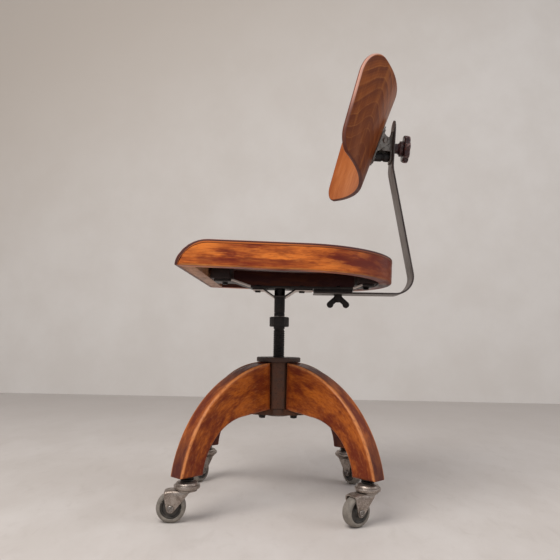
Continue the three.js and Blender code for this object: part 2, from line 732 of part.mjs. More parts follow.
function addBase(chair) {
  const base = new THREE.Group();
  base.rotation.z = THREE.MathUtils.degToRad(BASE_TURN);
  const diagonal = new THREE.Group();
  diagonal.rotation.z = Math.PI / 4;
  base.add(diagonal);
  chair.add(base);
  piece(base, "hub", castIron(), hub());
  piece(base, "spindle_bush", wornSteel(), spindleBush());
  piece(diagonal, "foot_cross", castIron(), footCross());
  // The legs in turn from the rear left one, a quarter turn apart
  ["rear_left", "rear_right", "front_right", "front_left"].forEach((name, i) => {
    const corner = new THREE.Group();
    corner.rotation.z = (i * Math.PI) / 2;
    diagonal.add(corner);
    piece(corner, `leg_${name}`, stainedWood(), leg());
    piece(corner, `leg_screw_${name}`, blackSteel(), legScrew());
    const place = new THREE.Vector3(CASTER_CIRCLE_RADIUS, 0, 0);
    place.name = name;
    addCaster(corner, place, TRAIL_BEARING[name] - BASE_TURN - 45 - i * 90);
  });
}

// Spindle

function spindle() {
  const top = STRAP_UNDER - REST_GAP;
  return turned(
    [
      [0, SPINDLE_FOOT],
      [SPINDLE_RADIUS - COLLAR_CHAMFER, SPINDLE_FOOT],
      [SPINDLE_RADIUS, SPINDLE_FOOT + COLLAR_CHAMFER],
      [SPINDLE_RADIUS, COLLAR_TOP],
      [PIVOT_RADIUS, COLLAR_TOP],
      [PIVOT_RADIUS, top],
      [0, top],
    ],
    ROUND_SIDES,
  );
}

function hexCollar() {
  const corner = COLLAR_ACROSS_FLATS / 2 / Math.cos(Math.PI / COLLAR_SIDES);
  const chamfered = turned(
    [
      [0, COLLAR_UNDER],
      [corner - COLLAR_CHAMFER, COLLAR_UNDER],
      [corner, COLLAR_UNDER + COLLAR_CHAMFER / 2],
      [corner, COLLAR_TOP - COLLAR_CHAMFER / 2],
      [corner - COLLAR_CHAMFER, COLLAR_TOP],
      [0, COLLAR_TOP],
    ],
    ROUND_SIDES,
  );
  const bore = rod(SPINDLE_RADIUS + REST_GAP, COLLAR_UNDER - OVERRUN, COLLAR_TOP + OVERRUN, ROUND_SIDES);
  return raised(regularShape(COLLAR_ACROSS_FLATS, COLLAR_SIDES), COLLAR_UNDER, COLLAR_TOP)
    .intersect(chamfered)
    .subtract(bore);
}

function addSpindle(chair) {
  piece(chair, "spindle", blackSteel(), spindle());
  piece(chair, "hex_collar", blackSteel(), hexCollar());
  const washer = tube(
    SOCKET_RADIUS,
    PIVOT_RADIUS + RUN_GAP,
    WASHER_UNDER,
    WASHER_UNDER + WASHER_DEPTH,
  );
  piece(chair, "thrust_washer", wornSteel(), washer);
}

// Straps under the seat

function downHole(radius, y, sides = SMALL_SIDES) {
  const low = STRAP_UNDER - BOW_DROP - OVERRUN;
  return rod(radius, low, SEAT_UNDER_AT_SPINDLE + SEAT_HEIGHT, sides).translate([0, y, 0]);
}

function mainStrap() {
  const level = STRAP_UNDER + STRAP_THICKNESS / 2;
  const front = FRONT_PAD_UNDER - REST_GAP - STRAP_THICKNESS / 2;
  const rear = REAR_PAD_UNDER - REST_GAP - STRAP_THICKNESS / 2;
  const shape = stripShape(
    [
      [STRAP_FRONT_END, front],
      [STRAP_FRONT_END_BEND, front],
      [STRAP_FRONT_BEND, level],
      [STRAP_REAR_BEND, level],
      [STRAP_REAR_END_BEND, rear],
      [STRAP_REAR_END, rear],
    ],
    Array(4).fill(STRAP_BEND_RADIUS),
    STRAP_THICKNESS,
  );
  return foreAndAft(shape, STRAP_WIDTH)
    .subtract(downHole(BOW_BOLT_RADIUS + REST_GAP, BOW_BOLT_REACH))
    .subtract(downHole(BOW_BOLT_RADIUS + REST_GAP, -BOW_BOLT_REACH))
    .subtract(downHole(WING_SCREW_RADIUS + RUN_GAP, WING_OUT))
    .subtract(downHole(PAD_SCREW_RADIUS + REST_GAP, frontPadScrew))
    .subtract(downHole(PAD_SCREW_RADIUS + REST_GAP, rearPadScrew));
}

const frontPadScrew = (STRAP_FRONT_END + STRAP_FRONT_END_BEND) / 2;
const rearPadScrew = (STRAP_REAR_END + STRAP_REAR_END_BEND) / 2;

// The bowed strap runs down to the socket and up again, and stiffens the main one.
function bowStrap() {
  const flat = STRAP_UNDER - REST_GAP - BOW_THICKNESS / 2;
  const low = flat - BOW_DROP;
  const shape = stripShape(
    [
      [-BOW_END_REACH + BOW_BOTTOM_REACH, flat],
      [-BOW_FLAT_START, flat],
      [-BOW_BOTTOM_REACH, low],
      [BOW_BOTTOM_REACH, low],
      [BOW_FLAT_START, flat],
      [BOW_END_REACH, flat],
    ],
    Array(4).fill(BOW_BEND_RADIUS),
    BOW_THICKNESS,
  );
  return foreAndAft(shape, STRAP_WIDTH)
    .subtract(downHole(SOCKET_RADIUS + REST_GAP, 0, ROUND_SIDES))
    .subtract(downHole(BOW_BOLT_RADIUS + REST_GAP, BOW_BOLT_REACH))
    .subtract(downHole(BOW_BOLT_RADIUS + REST_GAP, -BOW_BOLT_REACH));
}

// The socket turns on the spindle's pivot and is welded under the main strap.
function seatSocket() {
  return tube(SOCKET_RADIUS, PIVOT_RADIUS + RUN_GAP, SOCKET_UNDER, STRAP_UNDER - REST_GAP);
}

function bowBolt() {
  const headTop = STRAP_UNDER - REST_GAP - BOW_THICKNESS - REST_GAP;
  const nutUnder = STRAP_TOP + REST_GAP;
  const nut = raised(
    regularShape(2 * BOW_BOLT_HEAD_RADIUS, COLLAR_SIDES),
    nutUnder,
    nutUnder + BOW_BOLT_HEAD_DEPTH,
  );
  return rod(BOW_BOLT_RADIUS, headTop - BOW_BOLT_HEAD_DEPTH, nutUnder + BOW_BOLT_HEAD_DEPTH)
    .add(rod(BOW_BOLT_HEAD_RADIUS, headTop - BOW_BOLT_HEAD_DEPTH, headTop))
    .add(nut);
}

function padScrew(padUnder) {
  const headTop = padUnder - 2 * REST_GAP - STRAP_THICKNESS;
  const head = rod(PAD_SCREW_HEAD_RADIUS, headTop - PAD_SCREW_HEAD_DEPTH, headTop);
  return rod(PAD_SCREW_RADIUS, headTop - PAD_SCREW_HEAD_DEPTH, headTop + PAD_SCREW_LENGTH).add(head);
}

// Seat

// Plan of the seat, drawn inwards by a margin: straight front and sides, round back.
function seatPlan(margin) {
  const half = SEAT_HALF_WIDTH - margin;
  const front = SEAT_FRONT + margin;
  const corner = Math.max(SEAT_CORNER - margin, REST_GAP);
  const points = [];
  const arc = (x, y, rx, ry, from, to, steps) => {
    for (let i = 0; i <= steps; i++) {
      const turn = from + ((to - from) * i) / steps;
      points.push([x + rx * Math.cos(turn), y + ry * Math.sin(turn)]);
    }
  };
  const quarter = Math.PI / 2;
  const sideSteps = BEND_STEPS / 2;
  for (let i = 0; i < BEND_STEPS; i++) {
    points.push([(half - corner) * ((2 * i) / BEND_STEPS - 1), front]);
  }
  arc(half - corner, front + corner, corner, corner, -quarter, 0, sideSteps);
  const stations = SHEET_RING_SHARES.map((share) => share * SEAT_FRONT);
  const along = stations.filter((y) => y > front + corner).reverse();
  for (const y of along) points.push([half, y]);
  points.push([half, 0]);
  arc(0, SEAT_SIDE_END, half, SEAT_REAR - margin - SEAT_SIDE_END, 0, 2 * quarter, 2 * ARC_STEPS);
  points.push([-half, 0]);
  for (const y of along.reverse()) points.push([-half, y]);
  arc(corner - half, front + corner, corner, corner, 2 * quarter, 3 * quarter, sideSteps);
  points.pop();
  return points;
}

const NOSE_CENTRE_UP = SEAT_HEIGHT - SEAT_NOSE_RADIUS;
const NOSE_CENTRE_OUT =
  SEAT_FRONT + Math.sqrt(SEAT_NOSE_RADIUS ** 2 - NOSE_CENTRE_UP ** 2);

// The rail stands behind the sheet where that comes down to the seat's underside.
const RAIL_FRONT =
  NOSE_CENTRE_OUT -
  Math.sqrt((SEAT_NOSE_RADIUS - SEAT_SHEET - REST_GAP) ** 2 - NOSE_CENTRE_UP ** 2);

// A skin of the moulded sheet, some way below its top face: dished inside the rim and
// rolled down at the front.
const seatSkin = (below) => (point, share) => {
  const y = point[1] * share;
  const roll = Math.asin(Math.max(NOSE_CENTRE_OUT - y, 0) / SEAT_NOSE_RADIUS);
  const radius = SEAT_NOSE_RADIUS - below;
  const bowl = Math.max(1 - (share / DISH_EDGE_SHARE) ** 2, 0) ** 2;
  return [
    point[0] * share,
    roll > 0 ? NOSE_CENTRE_OUT - radius * Math.sin(roll) : y,
    NOSE_CENTRE_UP + radius * Math.cos(roll) - SEAT_DISH * bowl,
  ];
};

function seatSheet() {
  const ground = 2 * (SEAT_REAR - SEAT_FRONT);
  return sheetSolid(seatPlan(0), SHEET_RING_SHARES, seatSkin(0), seatSkin(SEAT_SHEET)).subtract(
    block([ground, ground, SEAT_HEIGHT], [0, 0, -SEAT_HEIGHT / 2]),
  );
}

// Takes away from a form all that is not under the sheet.
function underSheet(made) {
  const plan = seatPlan(0);
  const lid = (point, share) => [point[0] * share, point[1] * share, 2 * SEAT_HEIGHT];
  const under = seatSkin(SEAT_SHEET + REST_GAP);
  return made
    .subtract(sheetSolid(plan, SHEET_RING_SHARES, seatSkin(0), under))
    .subtract(sheetSolid(plan, SHEET_RING_SHARES, lid, seatSkin(REST_GAP)));
}

// The bent rim: a horseshoe open at the front, where the rail closes it.
function seatRim() {
  const outer = raised(outline(seatPlan(REST_GAP)), 0, SEAT_HEIGHT);
  const inner = raised(outline(seatPlan(RIM_THICKNESS)), -OVERRUN, SEAT_HEIGHT + OVERRUN);
  const mouth = 2 * (SEAT_HALF_WIDTH - RIM_THICKNESS);
  const open = block([mouth, RIM_THICKNESS * 3, 3 * SEAT_HEIGHT], [0, SEAT_FRONT, 0]);
  const ahead = block(
    [3 * SEAT_HALF_WIDTH, SEAT_HEIGHT, 3 * SEAT_HEIGHT],
    [0, RAIL_FRONT + SEAT_CORNER - SEAT_HEIGHT / 2, 0],
  );
  return underSheet(outer.subtract(inner).subtract(open).subtract(ahead));
}

function frontRail() {
  const width = 2 * (SEAT_HALF_WIDTH - RIM_THICKNESS - REST_GAP);
  const length = SEAT_FRONT + FRONT_RAIL_WIDTH - RAIL_FRONT;
  return underSheet(
    block([width, length, SEAT_HEIGHT], [0, RAIL_FRONT + length / 2, SEAT_HEIGHT / 2]),
  );
}

// A pad fills the space between a strap's end and the dished sheet above it. It is cut
// in the level seat's frame, where the strap's face is the one that leans.
function seatPad(start, end, under, screw) {
  const column = block(
    [2 * PAD_HALF_WIDTH, end - start, SEAT_HEIGHT],
    [0, (start + end) / 2, under + SEAT_HEIGHT / 2],
  );
  const shank = rod(
    PAD_SCREW_RADIUS + REST_GAP,
    under - OVERRUN,
    under + PAD_SCREW_LENGTH - STRAP_THICKNESS,
  );
  return seatFrame(underSheet(levelFrame(column))).subtract(shank.translate([0, screw, 0]));
}

// Puts a form of the level seat where the tilted seat lies.
const seatFrame = (made) =>
  made.rotate([-SEAT_TILT, 0, 0]).translate([0, 0, SEAT_UNDER_AT_SPINDLE]);
const levelFrame = (made) =>
  made.translate([0, 0, -SEAT_UNDER_AT_SPINDLE]).rotate([SEAT_TILT, 0, 0]);

function addSeat(chair) {
  piece(chair, "main_strap", blackSteel(), mainStrap());
  piece(chair, "bow_strap", blackSteel(), bowStrap());
  piece(chair, "seat_socket", blackSteel(), seatSocket());
  piece(chair, "bow_bolt_front", blackSteel(), bowBolt().translate([0, -BOW_BOLT_REACH, 0]));
  piece(chair, "bow_bolt_rear", blackSteel(), bowBolt().translate([0, BOW_BOLT_REACH, 0]));
  const frontScrew = padScrew(FRONT_PAD_UNDER).translate([0, frontPadScrew, 0]);
  piece(chair, "pad_screw_front", blackSteel(), frontScrew);
  const rearScrew = padScrew(REAR_PAD_UNDER).translate([0, rearPadScrew, 0]);
  piece(chair, "pad_screw_rear", blackSteel(), rearScrew);
  piece(chair, "seat_panel", stainedWood(), seatFrame(seatSheet()));
  piece(chair, "seat_rim", stainedWood(), seatFrame(seatRim()));
  piece(chair, "seat_front_rail", paleWood(), seatFrame(frontRail()));
  const frontPad = seatPad(FRONT_PAD_START, FRONT_PAD_END, FRONT_PAD_UNDER, frontPadScrew);
  piece(chair, "seat_front_pad", paleWood(), frontPad);
  const rearPad = seatPad(REAR_PAD_START, REAR_PAD_END, REAR_PAD_UNDER, rearPadScrew);
  piece(chair, "seat_rear_pad", paleWood(), rearPad);
}

// Back bar

const barTopOut = BAR_NECK_OUT + (BAR_TOP - BAR_NECK_UP) * BAR_TOP_SLOPE;

// The bracket's frame, from the knob's axis: X across, Y up along the bar and Z forwards,
// out of the face of the bar. This puts a form drawn in it on the bar.
const KNOB_OUT = BAR_NECK_OUT + (KNOB_UP - BAR_NECK_UP) * BAR_TOP_SLOPE;
const bracketFrame = (made) =>
  made.rotate([90 - BAR_TOP_LEAN, 0, 0]).translate([0, KNOB_OUT, KNOB_UP]);

function backBar() {
  const shape = stripShape(
    [
      [BAR_FRONT, BAR_UP],
      [BAR_HEEL, BAR_UP],
      [BAR_NECK_OUT, BAR_NECK_UP],
      [barTopOut, BAR_TOP],
    ],
    [BAR_HEEL_RADIUS, BAR_NECK_RADIUS],
    BAR_THICKNESS,
  );
  // The top end is rounded as seen from the front
  const radius = BAR_WIDTH / 2;
  const front = new THREE.Shape();
  front.moveTo(-radius, 0);
  front.lineTo(radius, 0);
  front.absarc(0, BAR_TOP - radius, radius, 0, Math.PI);
  const rounded = new THREE.ExtrudeGeometry(front, {
    depth: 2 * BAR_HEEL,
    bevelEnabled: false,
    curveSegments: ARC_STEPS,
  });
  rounded.rotateX(Math.PI / 2);
  rounded.translate(0, 2 * BAR_HEEL, 0);
  const lowSlot = raised(
    slotShape(SLOT_WIDTH, WING_OUT - BAR_TRAVEL - SLOT_WIDTH / 2, WING_OUT + SLOT_WIDTH / 2),
    BAR_UNDER - OVERRUN,
    BAR_UP + OVERRUN,
  );
  const liftSlot = raised(
    slotShape(
      SLOT_WIDTH,
      -LIFT_SLOT_UP - SLOT_WIDTH / 2,
      LIFT_SLOT_DOWN + SLOT_WIDTH / 2,
    ),
    -OVERRUN,
    OVERRUN,
  ).rotate([0, 0, 180]);
  return foreAndAft(shape, BAR_WIDTH)
    .intersect(solid(rounded))
    .subtract(lowSlot)
    .subtract(bracketFrame(liftSlot));
}

// The packing keeps the bar clear of the heads under the strap.
function barPacking() {
  const length = PACKING_END - PACKING_START;
  return block(
    [STRAP_WIDTH, length, PACKING_DEPTH],
    [0, PACKING_START + length / 2, PACKING_TOP - PACKING_DEPTH / 2],
  ).subtract(downHole(WING_SCREW_RADIUS + RUN_GAP, WING_OUT));
}

function wingScrew() {
  const bossTop = BAR_UNDER - REST_GAP;
  const bossUnder = bossTop - WING_BOSS_HEIGHT;
  const boss = turned(
    [
      [0, bossUnder],
      [WING_SCREW_RADIUS, bossUnder],
      [WING_BOSS_RADIUS, bossUnder + WING_SCREW_RADIUS],
      [WING_BOSS_RADIUS, bossTop],
      [0, bossTop],
    ],
    SMALL_SIDES,
  );
  const wing = new THREE.Shape();
  const lobe = bossTop - WING_LOBE_DROP;
  wing.absarc(WING_LOBE_OUT, lobe, WING_LOBE_RADIUS, Math.PI / 4, -Math.PI, true);
  wing.lineTo(WING_BOSS_RADIUS / 2, bossUnder);
  wing.lineTo(0, bossUnder);
  wing.lineTo(0, bossTop - WING_SCREW_RADIUS);
  wing.lineTo(WING_BOSS_RADIUS, bossTop - WING_SCREW_RADIUS);
  const wings = foreAndAft(wing, WING_THICKNESS);
  return rod(WING_SCREW_RADIUS, bossUnder, STRAP_TOP + WING_SCREW_RADIUS)
    .add(boss)
    .add(wings)
    .add(wings.rotate([0, 0, 180]));
}

// Bracket that slides on the upright of the bar

// A point of the plane of symmetry, in the bracket's frame: [forwards, up].
function inBracket(out, up) {
  const lean = THREE.MathUtils.degToRad(BAR_TOP_LEAN);
  const dy = out - KNOB_OUT;
  const dz = up - KNOB_UP;
  return [dz * Math.sin(lean) - dy * Math.cos(lean), dz * Math.cos(lean) + dy * Math.sin(lean)];
}

const plateBack = BAR_THICKNESS / 2 + REST_GAP;
const plateFront = plateBack + BRACKET_PLATE_DEPTH;

function backBracket() {
  const plate = block(
    [2 * BRACKET_HALF_WIDTH + 2 * BRACKET_CHEEK, BRACKET_PLATE_UP + BRACKET_PLATE_DOWN, BRACKET_PLATE_DEPTH],
    [0, (BRACKET_PLATE_UP - BRACKET_PLATE_DOWN) / 2, (plateBack + plateFront) / 2],
  );
  const [pinOut, pinUp] = inBracket(PIN_OUT, PIN_UP);
  const cheek = new THREE.Shape();
  cheek.moveTo(plateBack, -BRACKET_CHEEK_DOWN);
  cheek.lineTo(plateFront + BRACKET_EYE_RADIUS, -BRACKET_CHEEK_DOWN);
  cheek.absarc(pinOut, pinUp, BRACKET_EYE_RADIUS, -Math.PI / 4, Math.PI / 2);
  cheek.lineTo(plateBack, pinUp + BRACKET_CHEEK_UP);
  const side = BRACKET_HALF_WIDTH + BRACKET_CHEEK / 2;
  const upright = (x) => standing(cheek, BRACKET_CHEEK).translate([x, 0, 0]);
  const studHole = rod(STUD_RADIUS + REST_GAP, 0, plateFront + OVERRUN);
  const made = plate.add(upright(side)).add(upright(-side)).subtract(studHole);
  return bracketFrame(made).subtract(crossRod(PIN_RADIUS + REST_GAP));
}

// A side view given as [forwards, up] in the bracket's frame, made as wide as given.
function standing(shape, width) {
  const geometry = new THREE.ExtrudeGeometry(shape, {
    depth: width,
    bevelEnabled: false,
    curveSegments: BEND_STEPS,
  });
  geometry.translate(0, 0, -width / 2);
  geometry.rotateY(-Math.PI / 2);
  return solid(geometry);
}

// A rod along X through the hinge's axis.
function crossRod(radius, half = BRACKET_HALF_WIDTH * 2) {
  return rod(radius, -half, half).rotate([0, 90, 0]).translate([0, PIN_OUT, PIN_UP]);
}

const pinHalf =
  BRACKET_HALF_WIDTH + BRACKET_CHEEK + BACK_CHEEK_GAP + BACK_CHEEK + REST_GAP;

function hingePin() {
  const heads = [-pinHalf - PIN_HEAD_DEPTH, pinHalf].map((low) =>
    rod(PIN_HEAD_RADIUS, low, low + PIN_HEAD_DEPTH)
      .rotate([0, 90, 0])
      .translate([0, PIN_OUT, PIN_UP]),
  );
  return crossRod(PIN_RADIUS, pinHalf + PIN_HEAD_DEPTH).add(heads[0]).add(heads[1]);
}

// The clamp stud: its head lies on the plate and its shank passes the bar's slot.
function clampStud() {
  const head = plateFront + REST_GAP;
  return bracketFrame(
    rod(STUD_RADIUS, -STUD_REACH, head + STUD_HEAD_DEPTH).add(
      rod(STUD_HEAD_RADIUS, head, head + STUD_HEAD_DEPTH),
    ),
  );
}

function starKnob() {
  const back = -BAR_THICKNESS / 2 - REST_GAP;
  const shoulder = back - KNOB_STEM_LENGTH;
  const disc = shoulder - KNOB_SHOULDER_DEPTH;
  const body = turned(
    [
      [0, disc - KNOB_DEPTH / 2],
      [KNOB_SHOULDER_RADIUS, disc - KNOB_DEPTH / 2],
      [KNOB_SHOULDER_RADIUS, shoulder - KNOB_SHOULDER_DEPTH / 2],
      [KNOB_STEM_RADIUS + KNOB_EDGE, shoulder],
      [KNOB_STEM_RADIUS, shoulder + KNOB_EDGE],
      [KNOB_STEM_RADIUS, back],
      [0, back],
    ],
    ROUND_SIDES,
  );
  const count = KNOB_LOBES * KNOB_POINTS_PER_LOBE;
  const rim = [];
  for (let i = 0; i < count; i++) {
    const turn = (i * 2 * Math.PI) / count;
    const dip = (1 - Math.cos(KNOB_LOBES * turn)) / 2;
    const radius = KNOB_RADIUS - KNOB_LOBE_DEPTH * dip;
    rim.push([radius * Math.cos(turn), radius * Math.sin(turn)]);
  }
  const lobed = new THREE.ExtrudeGeometry(outline(rim), {
    depth: KNOB_DEPTH - 2 * KNOB_EDGE,
    bevelThickness: KNOB_EDGE,
    bevelSize: KNOB_EDGE,
    bevelOffset: -KNOB_EDGE,
    bevelSegments: EDGE_STEPS,
  });
  lobed.translate(0, 0, disc - KNOB_DEPTH + KNOB_EDGE);
  const bore = rod(STUD_RADIUS + REST_GAP, -STUD_REACH - REST_GAP, 0);
  return bracketFrame(body.add(solid(lobed)).subtract(bore));
}

// Backrest

// The backrest's own frame: [girth, height] on its rear face, and a depth in front.
function backPoint(girth, height, depth) {
  const radius = BACK_CURVE_RADIUS / (1 + BACK_CONE * height);
  const inner = radius - depth;
  const turn = girth / radius;
  const forward = radius - inner * Math.cos(turn);
  return [
    inner * Math.sin(turn),
    BACK_MIDDLE_OUT + height * BACK_SINE - forward * BACK_COSINE,
    BACK_MIDDLE_UP + height * BACK_COSINE + forward * BACK_SINE,
  ];
}

function backLoop() {
  const points = [];
  const corner = (x, y, radius, from) => {
    for (let i = 0; i <= BEND_STEPS; i++) {
      const turn = from + (Math.PI / 2) * (i / BEND_STEPS);
      points.push([x + radius * Math.cos(turn), y + radius * Math.sin(turn)]);
    }
  };
  const run = (from, to) => {
    for (let i = 1; i < BEND_STEPS; i++) {
      const share = i / BEND_STEPS;
      points.push([from[0] + (to[0] - from[0]) * share, from[1] + (to[1] - from[1]) * share]);
    }
  };
  const low = BACK_BOTTOM_CORNER - BACK_HALF_HEIGHT;
  const high = BACK_HALF_HEIGHT - BACK_TOP_CORNER;
  const lowSide = BACK_HALF_GIRTH - BACK_BOTTOM_CORNER;
  const highSide = BACK_HALF_GIRTH - BACK_TOP_CORNER;
  corner(lowSide, low, BACK_BOTTOM_CORNER, -Math.PI / 2);
  run([BACK_HALF_GIRTH, low], [BACK_HALF_GIRTH, high]);
  corner(highSide, high, BACK_TOP_CORNER, 0);
  run([highSide, BACK_HALF_HEIGHT], [-highSide, BACK_HALF_HEIGHT]);
  corner(-highSide, high, BACK_TOP_CORNER, Math.PI / 2);
  run([-BACK_HALF_GIRTH, high], [-BACK_HALF_GIRTH, low]);
  corner(-lowSide, low, BACK_BOTTOM_CORNER, Math.PI);
  run([-lowSide, -BACK_HALF_HEIGHT], [lowSide, -BACK_HALF_HEIGHT]);
  // The long edges are crowned a little
  return points.map(([x, y]) => {
    const crown = BACK_CROWN * (x / BACK_HALF_GIRTH) ** 2;
    return [x, y > 0 ? y - crown : y];
  });
}

// The moulded sheet of the backrest. Its edges are rounded over on both faces.
function backrestPanel() {
  const shares = [0.25, 0.5, 0.75, 0.9, 1 - (2 * BACK_EDGE_ROUND) / BACK_HALF_GIRTH, 1];
  const rear = (point, share) => {
    const depth = share === 1 ? BACK_EDGE_ROUND : 0;
    return backPoint(point[0] * share, point[1] * share, depth);
  };
  const front = (point, share) => {
    const depth = BACK_THICKNESS - (share === 1 ? BACK_EDGE_ROUND : 0);
    return backPoint(point[0] * share, point[1] * share, depth);
  };
  return sheetSolid(backLoop(), shares, front, rear);
}

// A point of the plane of symmetry, in the backrest's frame: [out of the face, up].
function inBack(out, up) {
  const dy = out - BACK_MIDDLE_OUT;
  const dz = up - BACK_MIDDLE_UP;
  return [dy * BACK_COSINE - dz * BACK_SINE, dy * BACK_SINE + dz * BACK_COSINE];
}

// Plate on the back of the backrest, with two cheeks that hang on the hinge pin.
function backPlate() {
  const width = 2 * BACK_PLATE_HALF_WIDTH;
  const under = REST_GAP;
  const plate = block(
    [width, BACK_PLATE_DEPTH, BACK_PLATE_UP + BACK_PLATE_DOWN],
    [0, under + BACK_PLATE_DEPTH / 2, (BACK_PLATE_UP - BACK_PLATE_DOWN) / 2],
  );
  const [pinAway, pinUp] = inBack(PIN_OUT, PIN_UP);
  const cheek = new THREE.Shape();
  cheek.moveTo(under, -BACK_CHEEK_DOWN);
  cheek.lineTo(pinAway - BACK_EYE_RADIUS / 2, -BACK_CHEEK_DOWN);
  cheek.absarc(pinAway, pinUp, BACK_EYE_RADIUS, -Math.PI / 4, Math.PI / 2);
  cheek.lineTo(under, BACK_CHEEK_UP);
  const side = BRACKET_HALF_WIDTH + BRACKET_CHEEK + BACK_CHEEK_GAP + BACK_CHEEK / 2;
  const wall = (x) => foreAndAft(cheek, BACK_CHEEK).translate([x, 0, 0]);
  return plate
    .add(wall(side))
    .add(wall(-side))
    .rotate([-BACK_LEAN, 0, 0])
    .translate([0, BACK_MIDDLE_OUT, BACK_MIDDLE_UP])
    .subtract(crossRod(PIN_RADIUS + RUN_GAP));
}

// The ribbed rubber buffer stands between the two plates, under the hinge.
function rubberBuffer() {
  const [, bufferUp] = inBracket(PIN_OUT, BUFFER_UP);
  const start = plateFront + REST_GAP;
  const waist = BUFFER_RADIUS;
  const reach = 4 * BUFFER_RADIUS;
  const ribbed = turned(
    [
      [0, start],
      [BUFFER_RADIUS - BUFFER_ROUND, start],
      [BUFFER_RADIUS, start + BUFFER_ROUND],
      [BUFFER_RADIUS, start + 2 * waist - 2 * BUFFER_ROUND],
      [BUFFER_WAIST_RADIUS, start + 2 * waist],
      [BUFFER_RADIUS, start + 2 * waist + 2 * BUFFER_ROUND],
      [BUFFER_RADIUS, start + reach],
      [0, start + reach],
    ],
    SMALL_SIDES,
  ).translate([0, bufferUp, 0]);
  const ahead = block(
    [4 * BUFFER_RADIUS, 2 * reach, 4 * BACK_HALF_HEIGHT],
    [0, REST_GAP + BACK_PLATE_DEPTH + REST_GAP - reach, 0],
  )
    .rotate([-BACK_LEAN, 0, 0])
    .translate([0, BACK_MIDDLE_OUT, BACK_MIDDLE_UP]);
  return bracketFrame(ribbed).subtract(ahead);
}

function addBack(chair) {
  piece(chair, "back_bar", wornSteel(), backBar());
  piece(chair, "bar_packing", blackSteel(), barPacking());
  piece(chair, "wing_screw", blackSteel(), wingScrew().translate([0, WING_OUT, 0]));
  piece(chair, "back_bracket", wornSteel(), backBracket());
  piece(chair, "hinge_pin", wornSteel(), hingePin());
  piece(chair, "clamp_stud", wornSteel(), clampStud());
  piece(chair, "star_knob", redBakelite(), starKnob());
  piece(chair, "back_plate", wornSteel(), backPlate());
  piece(chair, "rubber_buffer", blackRubber(), rubberBuffer());
  piece(chair, "backrest_panel", stainedWood(), backrestPanel());
}

// The whole chair

function bankersChair() {
  const chair = new THREE.Group();
  addBase(chair);
  addSpindle(chair);
  addSeat(chair);
  addBack(chair);
  chair.updateMatrixWorld(true);
  const reach = new THREE.Box3().setFromObject(chair);
  chair.position.y = -(reach.min.y + reach.max.y) / 2;
  const whole = new THREE.Group();
  whole.add(chair);
  return whole;
}

export default bankersChair();
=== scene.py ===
"""A wooden swivel chair on casters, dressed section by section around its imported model.

Each section makes one piece of the chair, or a group of like pieces, from its base up.
Pieces are drawn in millimetres from the spindle's axis on the floor, +X to the sitter's
left and +Y to the back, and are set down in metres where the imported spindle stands.
"""

import math

import bmesh
import bpy
from mathutils import Matrix, Vector


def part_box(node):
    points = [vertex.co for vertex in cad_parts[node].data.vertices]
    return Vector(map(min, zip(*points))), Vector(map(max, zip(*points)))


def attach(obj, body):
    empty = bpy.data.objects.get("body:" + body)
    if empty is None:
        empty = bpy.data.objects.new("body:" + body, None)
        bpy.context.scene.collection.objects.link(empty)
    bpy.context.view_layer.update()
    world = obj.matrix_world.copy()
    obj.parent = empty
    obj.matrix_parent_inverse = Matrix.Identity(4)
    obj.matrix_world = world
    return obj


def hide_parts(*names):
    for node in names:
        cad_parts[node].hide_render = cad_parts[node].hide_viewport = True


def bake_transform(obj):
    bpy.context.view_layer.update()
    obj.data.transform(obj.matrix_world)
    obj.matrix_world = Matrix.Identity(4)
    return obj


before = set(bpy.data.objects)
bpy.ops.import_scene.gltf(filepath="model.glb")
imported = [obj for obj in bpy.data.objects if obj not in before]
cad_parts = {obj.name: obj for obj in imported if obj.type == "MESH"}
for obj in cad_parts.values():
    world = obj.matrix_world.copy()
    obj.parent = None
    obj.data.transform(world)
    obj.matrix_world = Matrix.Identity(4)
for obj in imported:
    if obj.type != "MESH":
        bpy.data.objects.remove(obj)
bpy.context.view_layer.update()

# The studio: a pale concrete floor and a painted wall behind the chair, lit by one big
# soft lamp over the camera's left shoulder and by the room's own light. The camera
# stands low, level with the base, and looks up a little at the sitter's left side.

spindle_low, spindle_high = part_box("spindle")
SPINDLE_OUT = (spindle_low.y + spindle_high.y) / 2


def join(tree, kind, inputs=(), **settings):
    """Adds a node to a tree, with its settings, and wires or fills its inputs."""
    made = tree.nodes.new(kind)
    for name, value in settings.items():
        setattr(made, name, value)
    for socket, value in dict(inputs).items():
        if isinstance(value, bpy.types.NodeSocket):
            tree.links.new(value, made.inputs[socket])
        else:
            made.inputs[socket].default_value = value
    return made


def tree_of(*values):
    """The node tree that holds the first socket among some values."""
    return next(v.id_data for v in values if isinstance(v, bpy.types.NodeSocket))


def mixed(share, first, second):
    """A colour that passes from the first to the second by a share."""
    inputs = {0: share, 6: first, 7: second}
    return join(tree_of(*inputs.values()), "ShaderNodeMix", inputs, data_type="RGBA").outputs[2]


def worked(operation, first, second=0.0):
    """The result of one sum on values."""
    inputs = {0: first, 1: second}
    return join(tree_of(first, second), "ShaderNodeMath", inputs, operation=operation).outputs[0]


def product(first, second):
    return worked("MULTIPLY", first, second)


def minus(first, second):
    return worked("SUBTRACT", first, second)


def eased(value, low, high, start=0.0, end=1.0):
    """A value that goes smoothly from start to end while another passes low and high."""
    inputs = {"Value": value, "From Min": low, "From Max": high, "To Min": start, "To Max": end}
    made = join(value.id_data, "ShaderNodeMapRange", inputs, interpolation_type="SMOOTHSTEP")
    return made.outputs[0]


def clouds(vector, scale, detail=3.0, roughness=0.55, distortion=0.0):
    """Soft random patches, as a value."""
    inputs = {"Vector": vector, "Scale": scale, "Detail": detail, "Roughness": roughness}
    inputs["Distortion"] = distortion
    return join(vector.id_data, "ShaderNodeTexNoise", inputs).outputs["Fac"]


